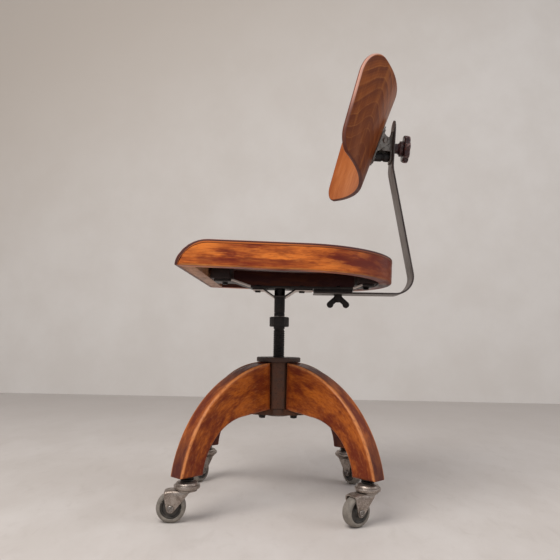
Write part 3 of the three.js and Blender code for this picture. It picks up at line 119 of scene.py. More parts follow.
def stretched(vector, scale, place=(0, 0, 0)):
    inputs = {"Vector": vector, "Scale": scale, "Location": place}
    return join(vector.id_data, "ShaderNodeMapping", inputs).outputs[0]


def parts_of(vector):
    """A vector's X, Y and Z."""
    return join(vector.id_data, "ShaderNodeSeparateXYZ", {0: vector}).outputs


def new_finish(name, roughness=0.5, metallic=0.0, **plain):
    """A material with its shader's even values set. Gives its tree and its shader."""
    material = bpy.data.materials.new(name)
    material.use_nodes = True
    shader = material.node_tree.nodes["Principled BSDF"]
    shader.inputs["Roughness"].default_value = roughness
    shader.inputs["Metallic"].default_value = metallic
    for socket, value in plain.items():
        shader.inputs[socket.replace("_", " ")].default_value = value
    return material, material.node_tree, shader


def object_place(tree):
    return join(tree, "ShaderNodeTexCoord").outputs["Object"]


def painted(shader, tone, roughness=None):
    """Feeds a shader its colour, and its roughness where that varies."""
    links = shader.id_data.links
    links.new(tone, shader.inputs["Base Color"])
    if roughness is not None:
        links.new(roughness, shader.inputs["Roughness"])


def raised_by(shader, height, strength, distance):
    inputs = {"Height": height, "Strength": strength, "Distance": distance}
    bump = join(shader.id_data, "ShaderNodeBump", inputs)
    shader.id_data.links.new(bump.outputs[0], shader.inputs["Normal"])


def linked(name, data):
    """A new object that holds some data, put in the scene."""
    made = bpy.data.objects.new(name, data)
    bpy.context.scene.collection.objects.link(made)
    return made


def broad_sheet(name, corners, material):
    mesh = bpy.data.meshes.new(name)
    mesh.from_pydata([Vector(c) for c in corners], [], [range(len(corners))])
    mesh.materials.append(material)
    linked(name, mesh)


FLOOR_TONE = (0.64, 0.60, 0.575, 1)
FLOOR_DARK = (0.575, 0.53, 0.50, 1)
WALL_TONE = (0.725, 0.69, 0.66, 1)
WALL_DARK = (0.68, 0.64, 0.605, 1)
WALL_PAINTED_SHADE = (0.56, 0.50, 0.445, 1)
STUDIO_REACH = 6.0
WALL_BEHIND = 1.95

floor_finish, tree, shader = new_finish("floor_concrete", roughness=0.6)
place = object_place(tree)
patches = eased(clouds(stretched(place, (1, 1.8, 1)), 2.6, 7, 0.62), 0.35, 0.68)
scuffs = eased(clouds(stretched(place, (1, 2.4, 1), (4, 1, 0)), 14, 7, 0.66, 0.6), 0.5, 0.72)
floor_tone = mixed(patches, FLOOR_DARK, FLOOR_TONE)
floor_tone = mixed(product(scuffs, 0.22), floor_tone, (0.44, 0.39, 0.355, 1))
# Painted shade: the floor grows darker towards the wall, where the lamps' light falls off.
far_off = parts_of(place)[0]
floor_tone = mixed(eased(far_off, 0.3, -1.6, 0.0, 0.75), floor_tone, (0.47, 0.43, 0.405, 1))
painted(shader, floor_tone)
raised_by(shader, clouds(place, 60, 4), 0.05, 0.002)
broad_sheet(
    "floor",
    [
        (-WALL_BEHIND, -STUDIO_REACH, 0),
        (STUDIO_REACH, -STUDIO_REACH, 0),
        (STUDIO_REACH, STUDIO_REACH, 0),
        (-WALL_BEHIND, STUDIO_REACH, 0),
    ],
    floor_finish,
)

wall_finish, tree, shader = new_finish("wall_paint", roughness=0.8)
place = object_place(tree)
patches = eased(clouds(place, 3.5, 6, 0.6), 0.3, 0.7)
split = parts_of(place)
# Painted shade: the wall grows darker towards its top and towards the corner on the camera's left.
toward_shaded_corner = minus(split[2], product(split[1], 0.55))
wall_tone = mixed(patches, WALL_DARK, WALL_TONE)
wall_tone = mixed(eased(toward_shaded_corner, 0.9, 2.9), wall_tone, WALL_PAINTED_SHADE)
painted(shader, wall_tone)
raised_by(shader, clouds(place, 25, 3), 0.04, 0.003)
broad_sheet(
    "wall",
    [
        (-WALL_BEHIND, -STUDIO_REACH, 0),
        (-WALL_BEHIND, STUDIO_REACH, 0),
        (-WALL_BEHIND, STUDIO_REACH, STUDIO_REACH),
        (-WALL_BEHIND, -STUDIO_REACH, STUDIO_REACH),
    ],
    wall_finish,
)


def soft_lamp(name, place, target, size, power, colour):
    lamp = bpy.data.lights.new(name, "AREA")
    lamp.shape = "DISK"
    lamp.size = size
    lamp.energy = power
    lamp.color = colour
    made = linked(name, lamp)
    made.location = place
    made.rotation_mode = "QUATERNION"
    made.rotation_quaternion = (Vector(target) - Vector(place)).to_track_quat("-Z", "Y")


soft_lamp("main_lamp", (1.3, -0.9, 2.3), (0, 0, 0.35), 1.6, 46, (1.0, 0.965, 0.92))
soft_lamp("far_lamp", (0.5, 2.4, 1.9), (0, 0, 0.4), 1.8, 15, (0.98, 0.98, 1.0))

room = bpy.data.worlds.new("room")
room.use_nodes = True
room.node_tree.nodes["Background"].inputs["Color"].default_value = (0.985, 0.985, 1.0, 1)
room.node_tree.nodes["Background"].inputs["Strength"].default_value = 0.55
bpy.context.scene.world = room
bpy.context.scene.view_settings.view_transform = "Standard"

CAMERA_REACH = 1.164  # from the spindle's axis
CAMERA_HEIGHT = 0.302
CAMERA_BEARING = math.radians(1.5)  # off the square side view
CAMERA_PITCH = math.radians(5.8)
CAMERA_ROLL = math.radians(1.0)
SENSOR = 36
IMAGE_SIDE = 560
FOCAL_PIXELS = 590

bearing_x, bearing_y = math.cos(CAMERA_BEARING), math.sin(CAMERA_BEARING)
level = -math.cos(CAMERA_PITCH)
ahead = Vector((level * bearing_x, level * bearing_y, math.sin(CAMERA_PITCH)))
level_right = Vector((-bearing_y, bearing_x, 0))
level_up = level_right.cross(ahead)
right = level_right * math.cos(CAMERA_ROLL) + level_up * math.sin(CAMERA_ROLL)
upward = level_up * math.cos(CAMERA_ROLL) - level_right * math.sin(CAMERA_ROLL)

camera_data = bpy.data.cameras.new("camera")
camera_data.sensor_width = SENSOR
camera_data.lens = FOCAL_PIXELS / IMAGE_SIDE * SENSOR
camera = linked("camera", camera_data)
turned_to = Matrix((right, upward, -ahead)).transposed().to_4x4()
where = Vector((CAMERA_REACH * bearing_x, CAMERA_REACH * bearing_y + SPINDLE_OUT, CAMERA_HEIGHT))
camera.matrix_world = Matrix.Translation(where) @ turned_to
bpy.context.scene.camera = camera

# The legs: four arched pieces of solid beech, sawn from a thick board, rounded over along
# their edges, stained red-brown and varnished. Each stands against a face of the hub and
# narrows to the foot that takes a caster. The stain is worn pale along the edges, partly
# as a painted highlight on the roundings; painted shade darkens the arches' undersides,
# the groove at the hub and the right legs' inner faces.


class Form:
    """A mesh in the making: its places, its faces, and for each place where it lies in
    the wood or metal it is cut from, and how pale use and a painted highlight make it."""

    def __init__(self):
        self.places, self.faces, self.grain, self.wear_and_highlight = [], [], [], []

    def add(self, place, grain=None, wear_and_highlight=0.0):
        self.places.append(Vector(place))
        self.grain.append(Vector(grain if grain is not None else place))
        self.wear_and_highlight.append(wear_and_highlight)
        return len(self.places) - 1

    def band(self, first, second, closed=True):
        """Faces between two rows of places of the same length."""
        count = len(first)
        for i in range(count if closed else count - 1):
            j = (i + 1) % count
            self.faces.append((first[i], first[j], second[j], second[i]))

    def skin(self, rows, closed=True, capped=False):
        """Faces from each row of places to the next, and over both ends if capped."""
        for first, second in zip(rows, rows[1:]):
            self.band(first, second, closed)
        if capped:
            self.faces += [tuple(reversed(rows[0])), tuple(rows[-1])]

    def moved(self, matrix):
        made = Form()
        made.places = [matrix @ p for p in self.places]
        made.faces, made.grain, made.wear_and_highlight = list(self.faces), list(self.grain), list(self.wear_and_highlight)
        return made

    def with_form(self, other):
        start = len(self.places)
        self.places += other.places
        self.grain += other.grain
        self.wear_and_highlight += other.wear_and_highlight
        self.faces += [tuple(start + i for i in face) for face in other.faces]
        return self


MILLIMETRE = 0.001


def in_metres(point):
    """Where a point of the drawing, in millimetres, lies in the scene."""
    return Vector(point) * MILLIMETRE + Vector((0, SPINDLE_OUT, 0))


def set_down(name, form):
    """Makes a Blender mesh object of a form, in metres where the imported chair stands."""
    mesh = bpy.data.meshes.new(name)
    mesh.from_pydata([in_metres(p) for p in form.places], [], form.faces)
    grain = mesh.attributes.new("grain", "FLOAT_VECTOR", "POINT")
    grain.data.foreach_set("vector", [c * MILLIMETRE for g in form.grain for c in g])
    wear_and_highlight = mesh.attributes.new("wear_and_highlight", "FLOAT", "POINT")
    wear_and_highlight.data.foreach_set("value", form.wear_and_highlight)
    return linked(name, mesh)


def outward(mesh):
    """Turns a closed mesh's faces outwards."""
    work = bmesh.new()
    work.from_mesh(mesh)
    bmesh.ops.recalc_face_normals(work, faces=work.faces)
    work.to_mesh(mesh)
    work.free()


def finish_piece(made, body, material, nodes, sharp=35):
    """Turns the faces outwards, smooths what is round, and says what the piece is."""
    outward(made.data)
    made.data.shade_smooth()
    made.data.set_sharp_from_angle(angle=math.radians(sharp))
    made.data.materials.clear()
    made.data.materials.append(material)
    if body:
        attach(made, body)
    if nodes:
        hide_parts(*nodes)


def rub_and_highlight_share(far, edge):
    """How much a rounding of some radius is paled by use, and by a painted highlight, at a
    distance in from the border. It is most where the rounding stands out, halfway between
    the face and the border, where a highlight lies."""
    RUB_AND_HIGHLIGHT_MIDDLE, RUB_AND_HIGHLIGHT_REACH = 0.29, 0.95
    return max(1 - abs(far - RUB_AND_HIGHLIGHT_MIDDLE * edge) / (RUB_AND_HIGHLIGHT_REACH * edge), 0)


def board(place, along, across, half, edge):
    """A board of even thickness whose two faces meet its border in a round edge.

    along and across are shares from 0 to 1, and place gives a point from two shares and
    a height over the middle of the board. It also gives how far the point is from each
    border, with that border's rounding and how pale use and a painted highlight make it."""
    form = Form()
    reach = 6.0  # of the border's first and last rows from the faces

    def height(borders):
        drops = [(r, max(r - far, 0)) for far, r, _ in borders]
        return min(half - r + math.sqrt(max(r**2 - in_round**2, 0)) for r, in_round in drops)

    rows = {}
    for side in (1, -1):
        rows[side] = []
        for u in along:
            line = []
            for v in across:
                borders = place(u, v, 0)[1]
                point, _, grain = place(u, v, side * height(borders))
                worn_and_lit = max(rub_and_highlight * rub_and_highlight_share(far, r) for far, r, rub_and_highlight in borders)
                line.append(form.add(point, grain, worn_and_lit))
            rows[side].append(line)
        form.skin(rows[side], closed=False)
    last_u, last_v = len(along) - 1, len(across) - 1
    border = [(i, 0) for i in range(last_u)] + [(last_u, j) for j in range(last_v)]
    border += [(i, last_v) for i in range(last_u, 0, -1)] + [(0, j) for j in range(last_v, 0, -1)]
    upper = [rows[1][i][j] for i, j in border]
    for up in (half - edge - reach, 0, reach + edge - half):
        lower = []
        for i, j in border:
            point, _, grain = place(along[i], across[j], up)
            lower.append(form.add(point, grain))
        form.band(upper, lower)
        upper = lower
    form.band(upper, [rows[-1][i][j] for i, j in border])
    return form


def shares_with_edges(length, edge, count):
    """Shares along a length that stand close together near both ends."""
    near = [0, 0.04, 0.15, 0.35, 0.65, 1.0, 1.6, 2.4]
    ends = [n * edge / length for n in near]
    middle = [ends[-1] + (1 - 2 * ends[-1]) * i / count for i in range(1, count)]
    return ends + middle + [1 - e for e in reversed(ends)]


BASE_TURN = 2.2  # degrees that the base stands turned under the seat
LEG_THICKNESS = 34
LEG_EDGE = 5
HUB_END_EDGE = 14
LEG_INNER = 30.8
LEG_HUB_UNDER = 172
BACK_RADIUS, BACK_CENTRE = 220, Vector((20, 39.2))
ARCH_RADIUS, ARCH_CENTRE = 100, Vector((92, 64))
FOOT_HEIGHT = 74
LEG_BEARINGS = {"rear_left": 45, "rear_right": 135, "front_right": 225, "front_left": 315}


def along_curve(points):
    """Gives a function from a share of a polyline's length to its point."""
    lengths = [0]
    for a, b in zip(points, points[1:]):
        lengths.append(lengths[-1] + (b - a).length)

    def at(share):
        goal = max(0.0, min(1.0, share)) * lengths[-1]
        for i in range(1, len(lengths)):
            if goal <= lengths[i] or i == len(lengths) - 1:
                step = (goal - lengths[i - 1]) / (lengths[i] - lengths[i - 1])
                return points[i - 1].lerp(points[i], step)

    return at


def on_arc(x, y, radius, turn):
    return Vector((x + radius * math.cos(turn), y + radius * math.sin(turn)))


def arc_points(centre, radius, start, end, steps):
    turns = [start + (end - start) * i / steps for i in range(steps + 1)]
    return [on_arc(centre.x, centre.y, radius, t) for t in turns]


to_hub = Vector((LEG_INNER, LEG_HUB_UNDER)) - ARCH_CENTRE
hub_turn = math.atan2(to_hub.y, to_hub.x)
arch_start = hub_turn - math.acos(ARCH_RADIUS / to_hub.length)
arch_end = math.asin((FOOT_HEIGHT - ARCH_CENTRE.y) / ARCH_RADIUS)
back_start = math.acos((LEG_INNER - BACK_CENTRE.x) / BACK_RADIUS)
back_end = math.asin((FOOT_HEIGHT - BACK_CENTRE.y) / BACK_RADIUS)
ARC_STEPS = 48
arch_line = [Vector((LEG_INNER, LEG_HUB_UNDER))]
arch_line += arc_points(ARCH_CENTRE, ARCH_RADIUS, arch_start, arch_end, ARC_STEPS)
arch_at = along_curve(arch_line)
back_at = along_curve(arc_points(BACK_CENTRE, BACK_RADIUS, back_start, back_end, ARC_STEPS))
LEG_LENGTH, LEG_DEPTH = 255, 66


def leg_place(u, v, w):
    low, high = arch_at(u), back_at(u)
    point = low.lerp(high, v)
    depth = (high - low).length
    # Each border: how far it is, its rounding, and how pale it is made by use and by a painted
    # highlight.
    borders = [
        (v * depth, LEG_EDGE, 0.35),
        ((1 - v) * depth, LEG_EDGE, 1.0),
        (u * LEG_LENGTH, HUB_END_EDGE, 0.75),
        ((1 - u) * LEG_LENGTH, LEG_EDGE, 0.3),
    ]
    return Vector((point.x, w, point.y)), borders, Vector((u * LEG_LENGTH, (v - 0.5) * depth, w))


def new_effect(name, **inputs):
    """An empty shader group with named inputs that gives a colour, roughness and height."""
    group = bpy.data.node_groups.new(name, "ShaderNodeTree")
    for label, kind in inputs.items():
        group.interface.new_socket(label, in_out="INPUT", socket_type="NodeSocket" + kind)
    for label, kind in (("Color", "Color"), ("Roughness", "Float"), ("Height", "Float")):
        group.interface.new_socket(label, in_out="OUTPUT", socket_type="NodeSocket" + kind)
    return group, group.nodes.new("NodeGroupInput"), group.nodes.new("NodeGroupOutput")


def total(first, second):
    return worked("ADD", first, second)


def from_attribute(tree, name, output):
    return join(tree, "ShaderNodeAttribute", attribute_name=name).outputs[output]


# Stain that soaked in unevenly, over fine fibres and short dark pores
stain_effect, given, gives = new_effect(
    "uneven_stain",
    Grain="Vector",
    Ground="Color",
    Stain="Color",
    Pale="Color",
    Wear="Float",
    Soaked="Float",
    Streaks="Float",
)
tree = stain_effect
grain = given.outputs["Grain"]
blots = clouds(stretched(grain, (0.55, 1, 1)), 26, 4, 0.62, 0.4)
smears = clouds(stretched(grain, (0.45, 1.2, 1.2), (3, 7, 1)), 75, 5, 0.65)
fibres = clouds(stretched(grain, (0.05, 1, 1)), 900, 3, 0.6)
pores = clouds(stretched(grain, (0.09, 1, 1), (1, 4, 2)), 1500, 2, 0.5)
soak = total(product(blots, 0.68), product(smears, 0.32))
level = minus(0.62, product(given.outputs["Soaked"], 0.24))
shifted = minus(soak, level)
soaked = eased(shifted, -0.09, 0.12)
body_tone = mixed(soaked, given.outputs["Ground"], given.outputs["Stain"])
streak = product(eased(fibres, 0.35, 0.7), given.outputs["Streaks"])
body_tone = mixed(streak, body_tone, given.outputs["Stain"])
pore = eased(pores, 0.60, 0.74)
body_tone = mixed(product(pore, 0.5), body_tone, (0.075, 0.012, 0.006, 1))
# Paler where worn, and where a painted highlight lies along a rounding.
rubbed_and_lit = eased(total(given.outputs["Wear"], product(smears, 0.9)), 0.85, 1.45)
body_tone = mixed(product(rubbed_and_lit, 0.85), body_tone, given.outputs["Pale"])
flecks = clouds(stretched(grain, (0.35, 1, 1), (5, 2, 8)), 330, 3, 0.6)
body_tone = mixed(eased(flecks, 0.50, 0.68, 0.0, 0.45), body_tone, given.outputs["Stain"])
body_tone = mixed(eased(flecks, 0.46, 0.32, 0.0, 0.16), body_tone, given.outputs["Pale"])
tree.links.new(body_tone, gives.inputs["Color"])
tree.links.new(eased(smears, 0.3, 0.7, 0.30, 0.46), gives.inputs["Roughness"])
relief = minus(product(fibres, 0.4), product(pore, 0.5))
tree.links.new(relief, gives.inputs["Height"])


def stained_by(tree, grain, wear_and_highlight, looks):
    """The stain's group in a material's tree, set to some looks."""
    sockets = {label.title(): value for label, value in looks.items()}
    sockets.update({"Grain": grain, "Wear": wear_and_highlight})
    return join(tree, "ShaderNodeGroup", sockets, node_tree=stain_effect)


def stained_wood(name, length=1.0, shaded=None, **looks):
    """Stained and oiled wood. length draws the blotches out, and shaded may darken it."""
    material, tree, shader = new_finish(name, Specular_IOR_Level=0.2)
    number = product(from_attribute(tree, "plank", "Fac"), 0.7)
    plank = join(tree, "ShaderNodeCombineXYZ", {"X": number, "Z": 0.09})
    inputs = {0: from_attribute(tree, "grain", "Vector"), 1: plank.outputs[0]}
    cut_from = join(tree, "ShaderNodeVectorMath", inputs, operation="ADD")
    grain = stretched(cut_from.outputs[0], (1 / length, 1, 1))
    effect = stained_by(tree, grain, from_attribute(tree, "wear_and_highlight", "Fac"), looks)
    tone = shaded(tree, effect.outputs["Color"]) if shaded else effect.outputs["Color"]
    painted(shader, tone, effect.outputs["Roughness"])
    raised_by(shader, effect.outputs["Height"], 0.25, 0.0004)
    return material


def darker_outside_and_painted_shade(tree, tone):
    """Darkens the outer face near the hub and foot, and paints shade under and between legs."""
    split = parts_of(from_attribute(tree, "grain", "Vector"))
    # The outer face darkens towards the hub and the foot, and the underside of the arch gets
    # painted shade.
    outer = eased(worked("ABSOLUTE", split[2]), 0.0135, 0.0121)
    arch = eased(split[1], 0.0, -0.01)
    to_hub = eased(split[0], 0.15, 0.04, 0.12, 0.86)
    to_foot = eased(split[0], 0.17, 0.225, 0.0, 0.62)
    ends = worked("MAXIMUM", to_hub, to_foot)
    share = product(outer, worked("MAXIMUM", ends, product(arch, 0.75)))
    tone = mixed(share, tone, (0.045, 0.014, 0.014, 1))
    # Painted shade on the inner faces of the two right legs, the far ones, seen past the hub.
    plank = minus(from_attribute(tree, "plank", "Fac"), 1.5)
    right = worked("LESS_THAN", worked("ABSOLUTE", plank), 1.0)
    far_leg_painted_shade = product(right, eased(product(split[2], plank), 0.006, 0.008))
    tone = mixed(product(far_leg_painted_shade, 0.8), tone, (0.035, 0.011, 0.009, 1))
    # Painted shade in the groove where each leg's end meets the hub.
    hub_groove_painted_shade = eased(split[0], 0.020, 0.002, 0.0, 0.6)
    return mixed(hub_groove_painted_shade, tone, (0.16, 0.022, 0.010, 1))


leg_finish = stained_wood(
    "leg_wood",
    ground=(0.47, 0.120, 0.016, 1),
    stain=(0.150, 0.022, 0.006, 1),
    pale=(0.66, 0.25, 0.085, 1),
    soaked=0.60,
    streaks=0.25,
    shaded=darker_outside_and_painted_shade,
)
leg_along = shares_with_edges(LEG_LENGTH, LEG_EDGE, 56)
leg_across = shares_with_edges(LEG_DEPTH, LEG_EDGE, 12)
leg_form = board(leg_place, leg_along, leg_across, LEG_THICKNESS / 2, LEG_EDGE)
for number, (corner, bearing) in enumerate(LEG_BEARINGS.items()):
    turn = Matrix.Rotation(math.radians(bearing + BASE_TURN), 4, "Z")
    made = set_down(f"arched_leg_{corner}", leg_form.moved(turn))
    plank = made.data.attributes.new("plank", "FLOAT", "POINT")
    plank.data.foreach_set("value", [number] * len(made.data.vertices))
    finish_piece(made, "base", leg_finish, [f"leg_{corner}"])

# The hub: an iron casting, an eight-sided column between the legs with a round flange on
# top that lies over their shoulders. It was painted dark once, and has gone rusty brown.


# Patches of bare or rusty metal through old paint, for any dark iron or steel
metal_effect, given, gives = new_effect(
    "aged_metal",
    Place="Vector",
    Clean="Color",
    Dirty="Color",
    Spots="Color",
    Coarseness="Float",
    Spotting="Float",
)
tree = metal_effect
place = given.outputs["Place"]
broad = clouds(place, given.outputs["Coarseness"], 6, 0.65)
fine = clouds(place, product(given.outputs["Coarseness"], 9.0), 4, 0.6)
dirt = eased(total(product(broad, 0.7), product(fine, 0.3)), 0.4, 0.62)
tone = mixed(dirt, given.outputs["Clean"], given.outputs["Dirty"])
spot = product(eased(fine, 0.56, 0.68), given.outputs["Spotting"])
tree.links.new(mixed(spot, tone, given.outputs["Spots"]), gives.inputs["Color"])
rough = total(product(dirt, 0.18), product(spot, 0.2))
tree.links.new(rough, gives.inputs["Roughness"])
tree.links.new(minus(fine, spot), gives.inputs["Height"])


def aged_metal(name, roughness, metallic, relief=0.15, **looks):
    material, tree, shader = new_finish(name, metallic=metallic)
    sockets = {label.title(): value for label, value in looks.items()}
    sockets["Place"] = object_place(tree)
    effect = join(tree, "ShaderNodeGroup", sockets, node_tree=metal_effect)
    painted(shader, effect.outputs["Color"], total(effect.outputs["Roughness"], roughness))
    raised_by(shader, effect.outputs["Height"], relief, 0.0004)
    return material


hub_finish = aged_metal(
    "rusty_iron",
    clean=(0.064, 0.029, 0.017, 1),
    dirty=(0.115, 0.042, 0.019, 1),
    spots=(0.020, 0.015, 0.014, 1),
    coarseness=38,
    spotting=0.8,
    roughness=0.42,
    metallic=0.35,
    relief=0.5,
)
tree = hub_finish.node_tree
shader = tree.nodes["Principled BSDF"]
rusty = shader.inputs["Base Color"].links[0].from_socket
up = parts_of(object_place(tree))[2]
# The flange is made darker than the column below it.
darker_flange = eased(up, 0.2580, 0.2600, 0.0, 0.60)
painted(shader, mixed(darker_flange, rusty, (0.020, 0.014, 0.013, 1)))
HUB_ACROSS = 61
FLANGE_RADIUS, FLANGE_UNDER, FLANGE_TOP = 42.6, 259.5, 268.5
HUB_BORE = 16.2
ROUND = 64


def eight_sided_ring(radius_of, height, form):
    ring = []
    for i in range(ROUND):
        t = 2 * math.pi * (i + 0.5) / ROUND + math.radians(BASE_TURN)
        radius = radius_of(t - math.radians(BASE_TURN))
        ring.append(form.add((radius * math.cos(t), radius * math.sin(t), height)))
    return ring


def column_radius(turn):
    """The distance out to a flat of the column, with its corners taken off a little."""
    eighth = math.pi / 4
    off = (turn + eighth / 2) % eighth - eighth / 2
    return min(HUB_ACROSS / 2 / math.cos(off), HUB_ACROSS / 2 / math.cos(eighth / 2) * 0.985)


def even(radius):
    return lambda turn: radius


def scaled(inset):
    return lambda turn: column_radius(turn) - inset


hub_form = Form()
hub_rows = [
    (even(HUB_BORE), LEG_HUB_UNDER),
    (scaled(1.2), LEG_HUB_UNDER),
    (scaled(0.3), LEG_HUB_UNDER + 0.4),
    (scaled(0), LEG_HUB_UNDER + 1.4),
    (scaled(0), FLANGE_UNDER - 7),
    (scaled(0), FLANGE_UNDER - 0.05),
    (even(FLANGE_RADIUS - 1.6), FLANGE_UNDER),
    (even(FLANGE_RADIUS - 0.5), FLANGE_UNDER + 0.4),
    (even(FLANGE_RADIUS), FLANGE_UNDER + 1.6),
    (even(FLANGE_RADIUS), FLANGE_TOP - 1.6),
    (even(FLANGE_RADIUS - 0.5), FLANGE_TOP - 0.4),
    (even(FLANGE_RADIUS - 1.6), FLANGE_TOP),
    (even(24), FLANGE_TOP),
    (even(HUB_BORE), FLANGE_TOP),
]
rings = [eight_sided_ring(radius_of, height, hub_form) for radius_of, height in hub_rows]
hub_form.skin(rings + rings[:1])
finish_piece(set_down("hub_casting", hub_form), "base", hub_finish, ["hub"], sharp=28)

# The foot cross: a cast plate with four tapering arms under the hub. One coach screw
# through each arm holds a leg up against it. Around the spindle sits a steel bush.


def settled(made):
    """Makes what an object's modifiers do its own plain mesh."""
    graph = bpy.context.evaluated_depsgraph_get()
    baked = bpy.data.meshes.new_from_object(made.evaluated_get(graph))
    made.modifiers.clear()
    made.data = baked
    return made


def rounded_edges(made, width, steps, angle):
    rounding = made.modifiers.new("rounding", "BEVEL")
    rounding.width = width * MILLIMETRE
    rounding.segments = steps
    rounding.limit_method = "ANGLE"
    rounding.angle_limit = math.radians(angle)


def softened(node, name, width, steps=2, angle=25, extra=None):
    """A copy of a CAD node with its flat faces made whole and its edges rounded."""
    work = bmesh.new()
    work.from_mesh(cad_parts[node].data)
    bmesh.ops.remove_doubles(work, verts=work.verts, dist=0.000004)
    flat = math.radians(0.4)
    bmesh.ops.dissolve_limit(work, angle_limit=flat, verts=work.verts, edges=work.edges)
    if extra:
        extra(work)
    mesh = bpy.data.meshes.new(name)
    work.to_mesh(mesh)
    work.free()
    made = linked(name, mesh)
    rounded_edges(made, width, steps, angle)
    return settled(made)


cross = softened("foot_cross", "foot_cross_casting", 1.4, steps=3)
finish_piece(cross, "base", hub_finish, ["foot_cross"])

black_steel = aged_metal(
    "blackened_steel",
    clean=(0.010, 0.0085, 0.0085, 1),
    dirty=(0.022, 0.016, 0.014, 1),
    spots=(0.085, 0.055, 0.042, 1),
    coarseness=60,
    spotting=0.3,
    roughness=0.36,
    metallic=0.55,
)
dull_steel = aged_metal(
    "dull_steel",
    clean=(0.27, 0.245, 0.225, 1),
    dirty=(0.15, 0.125, 0.11, 1),
    spots=(0.06, 0.042, 0.034, 1),
    coarseness=55,
    spotting=0.6,
    roughness=0.3,
    metallic=0.85,
)


def coated(finish, *nodes):
    """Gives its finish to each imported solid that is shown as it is."""
    for node in nodes:
        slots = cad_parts[node].data.materials
        slots.clear()
        slots.append(finish)


coated(dull_steel, "spindle_bush")
COACH_HEAD_SIDES = 4


def geometry_tree(name, inputs):
    """An empty Geometry Nodes tree with named sizes, and its two end nodes."""
    tree = bpy.data.node_groups.new(name, "GeometryNodeTree")
    tree.interface.new_socket("Geometry", in_out="INPUT", socket_type="NodeSocketGeometry")
    for label, value in inputs.items():
        kind = "NodeSocketInt" if isinstance(value, int) else "NodeSocketFloat"
        made = tree.interface.new_socket(label, in_out="INPUT", socket_type=kind)
        made.default_value = value
    tree.interface.new_socket("Geometry", in_out="OUTPUT", socket_type="NodeSocketGeometry")
    return tree, tree.nodes.new("NodeGroupInput"), tree.nodes.new("NodeGroupOutput")


def grown(name, tree, sizes, source):
    """Runs a Geometry Nodes tree on a mesh and gives the plain mesh object it makes."""
    made = linked(name, source)
    modifier = made.modifiers.new("grown", "NODES")
    modifier.node_group = tree
    for item in tree.interface.items_tree:
        if item.in_out == "INPUT" and item.name in sizes:
            modifier[item.identifier] = sizes[item.name]
    return settled(made)


def points_facing(places, facings, twists=None):
    """A mesh of bare points in metres, each with the way its fixing's head looks."""
    mesh = bpy.data.meshes.new("fixing_points")
    mesh.from_pydata([in_metres(p) for p in places], [], [])
    facing = mesh.attributes.new("facing", "FLOAT_VECTOR", "POINT")
    facing.data.foreach_set("vector", [c for f in facings for c in Vector(f).normalized()])
    twist = mesh.attributes.new("twist", "FLOAT", "POINT")
    twist.data.foreach_set("value", twists or [0.6 * i for i in range(len(places))])
    return mesh


def of_points(tree, name, kind):
    node = "GeometryNodeInputNamedAttribute"
    return join(tree, node, {"Name": name}, data_type=kind).outputs[0]


def handed_over(geometry, material, gives):
    """Ends a tree with real meshes in place of instances, and their material."""
    tree = geometry.id_data
    real = join(tree, "GeometryNodeRealizeInstances", {"Geometry": geometry})
    inputs = {"Geometry": real.outputs[0], "Material": material}
    dressed = join(tree, "GeometryNodeSetMaterial", inputs)
    tree.links.new(dressed.outputs[0], gives.inputs["Geometry"])


def fixing_tree(name, inputs, build, material):
    """Puts what build makes, standing on +Z, on every point, turned the way it faces."""
    tree, given, gives = geometry_tree(name, inputs)
    single = build(tree, given)
    facing = of_points(tree, "facing", "FLOAT_VECTOR")
    spin = join(tree, "ShaderNodeCombineXYZ", {"Z": of_points(tree, "twist", "FLOAT")})
    align = join(tree, "FunctionNodeAlignEulerToVector", {"Vector": facing}, axis="Z")
    turns = {"Rotation": align.outputs[0], "Rotate By": spin.outputs[0]}
    both = join(tree, "FunctionNodeRotateEuler", turns, space="LOCAL")
    inputs = {"Points": given.outputs["Geometry"], "Instance": single}
    inputs["Rotation"] = both.outputs[0]
    spread = join(tree, "GeometryNodeInstanceOnPoints", inputs)
    handed_over(spread.outputs[0], material, gives)
    return tree


def cone(tree, sides, low_radius, high_radius, depth, up):
    """A closed cone or cylinder whose foot is some way up the axis."""
    sizes = {"Vertices": sides, "Radius Bottom": low_radius, "Radius Top": high_radius}
    sizes["Depth"] = depth
    made = join(tree, "GeometryNodeMeshCone", sizes, fill_type="NGON")
    lift = join(tree, "ShaderNodeCombineXYZ", {"Z": up})
    inputs = {"Geometry": made.outputs["Mesh"], "Translation": lift.outputs[0]}
    return join(tree, "GeometryNodeTransform", inputs).outputs[0]


def joined(tree, parts):
    made = tree.nodes.new("GeometryNodeJoinGeometry")
    for part in parts:
        tree.links.new(part, made.inputs[0])
    return made.outputs[0]


def coach_head(tree, given):
    width, height = given.outputs["Head Radius"], given.outputs["Head Height"]
    washer, thin = given.outputs["Washer Radius"], given.outputs["Washer Depth"]
    sunk = minus(thin, 0.0001)
    chamfer = product(width, 0.82)
    low = product(height, 0.75)
    top_start = total(sunk, low)
    return joined(
        tree,
        [
            cone(tree, 24, washer, product(washer, 0.94), thin, 0.0),
            cone(tree, COACH_HEAD_SIDES, width, width, low, sunk),
            cone(tree, COACH_HEAD_SIDES, width, chamfer, minus(height, low), top_start),
        ],
    )


coach_tree = fixing_tree(
    "coach_screws",
    {"Head Radius": 0.0062, "Head Height": 0.0042, "Washer Radius": 0.0072, "Washer Depth": 0.0012},
    coach_head,
    black_steel,
)


def under_nodes(nodes, sink):
    """Points that look down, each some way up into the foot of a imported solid."""
    places = []
    for node in nodes:
        low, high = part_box(node)
        middle = (low + high) / 2
        foot = Vector((middle.x, middle.y - SPINDLE_OUT, low.z)) / MILLIMETRE
        places.append(foot + Vector((0, 0, sink)))
    return points_facing(places, [(0, 0, -1)] * len(places))


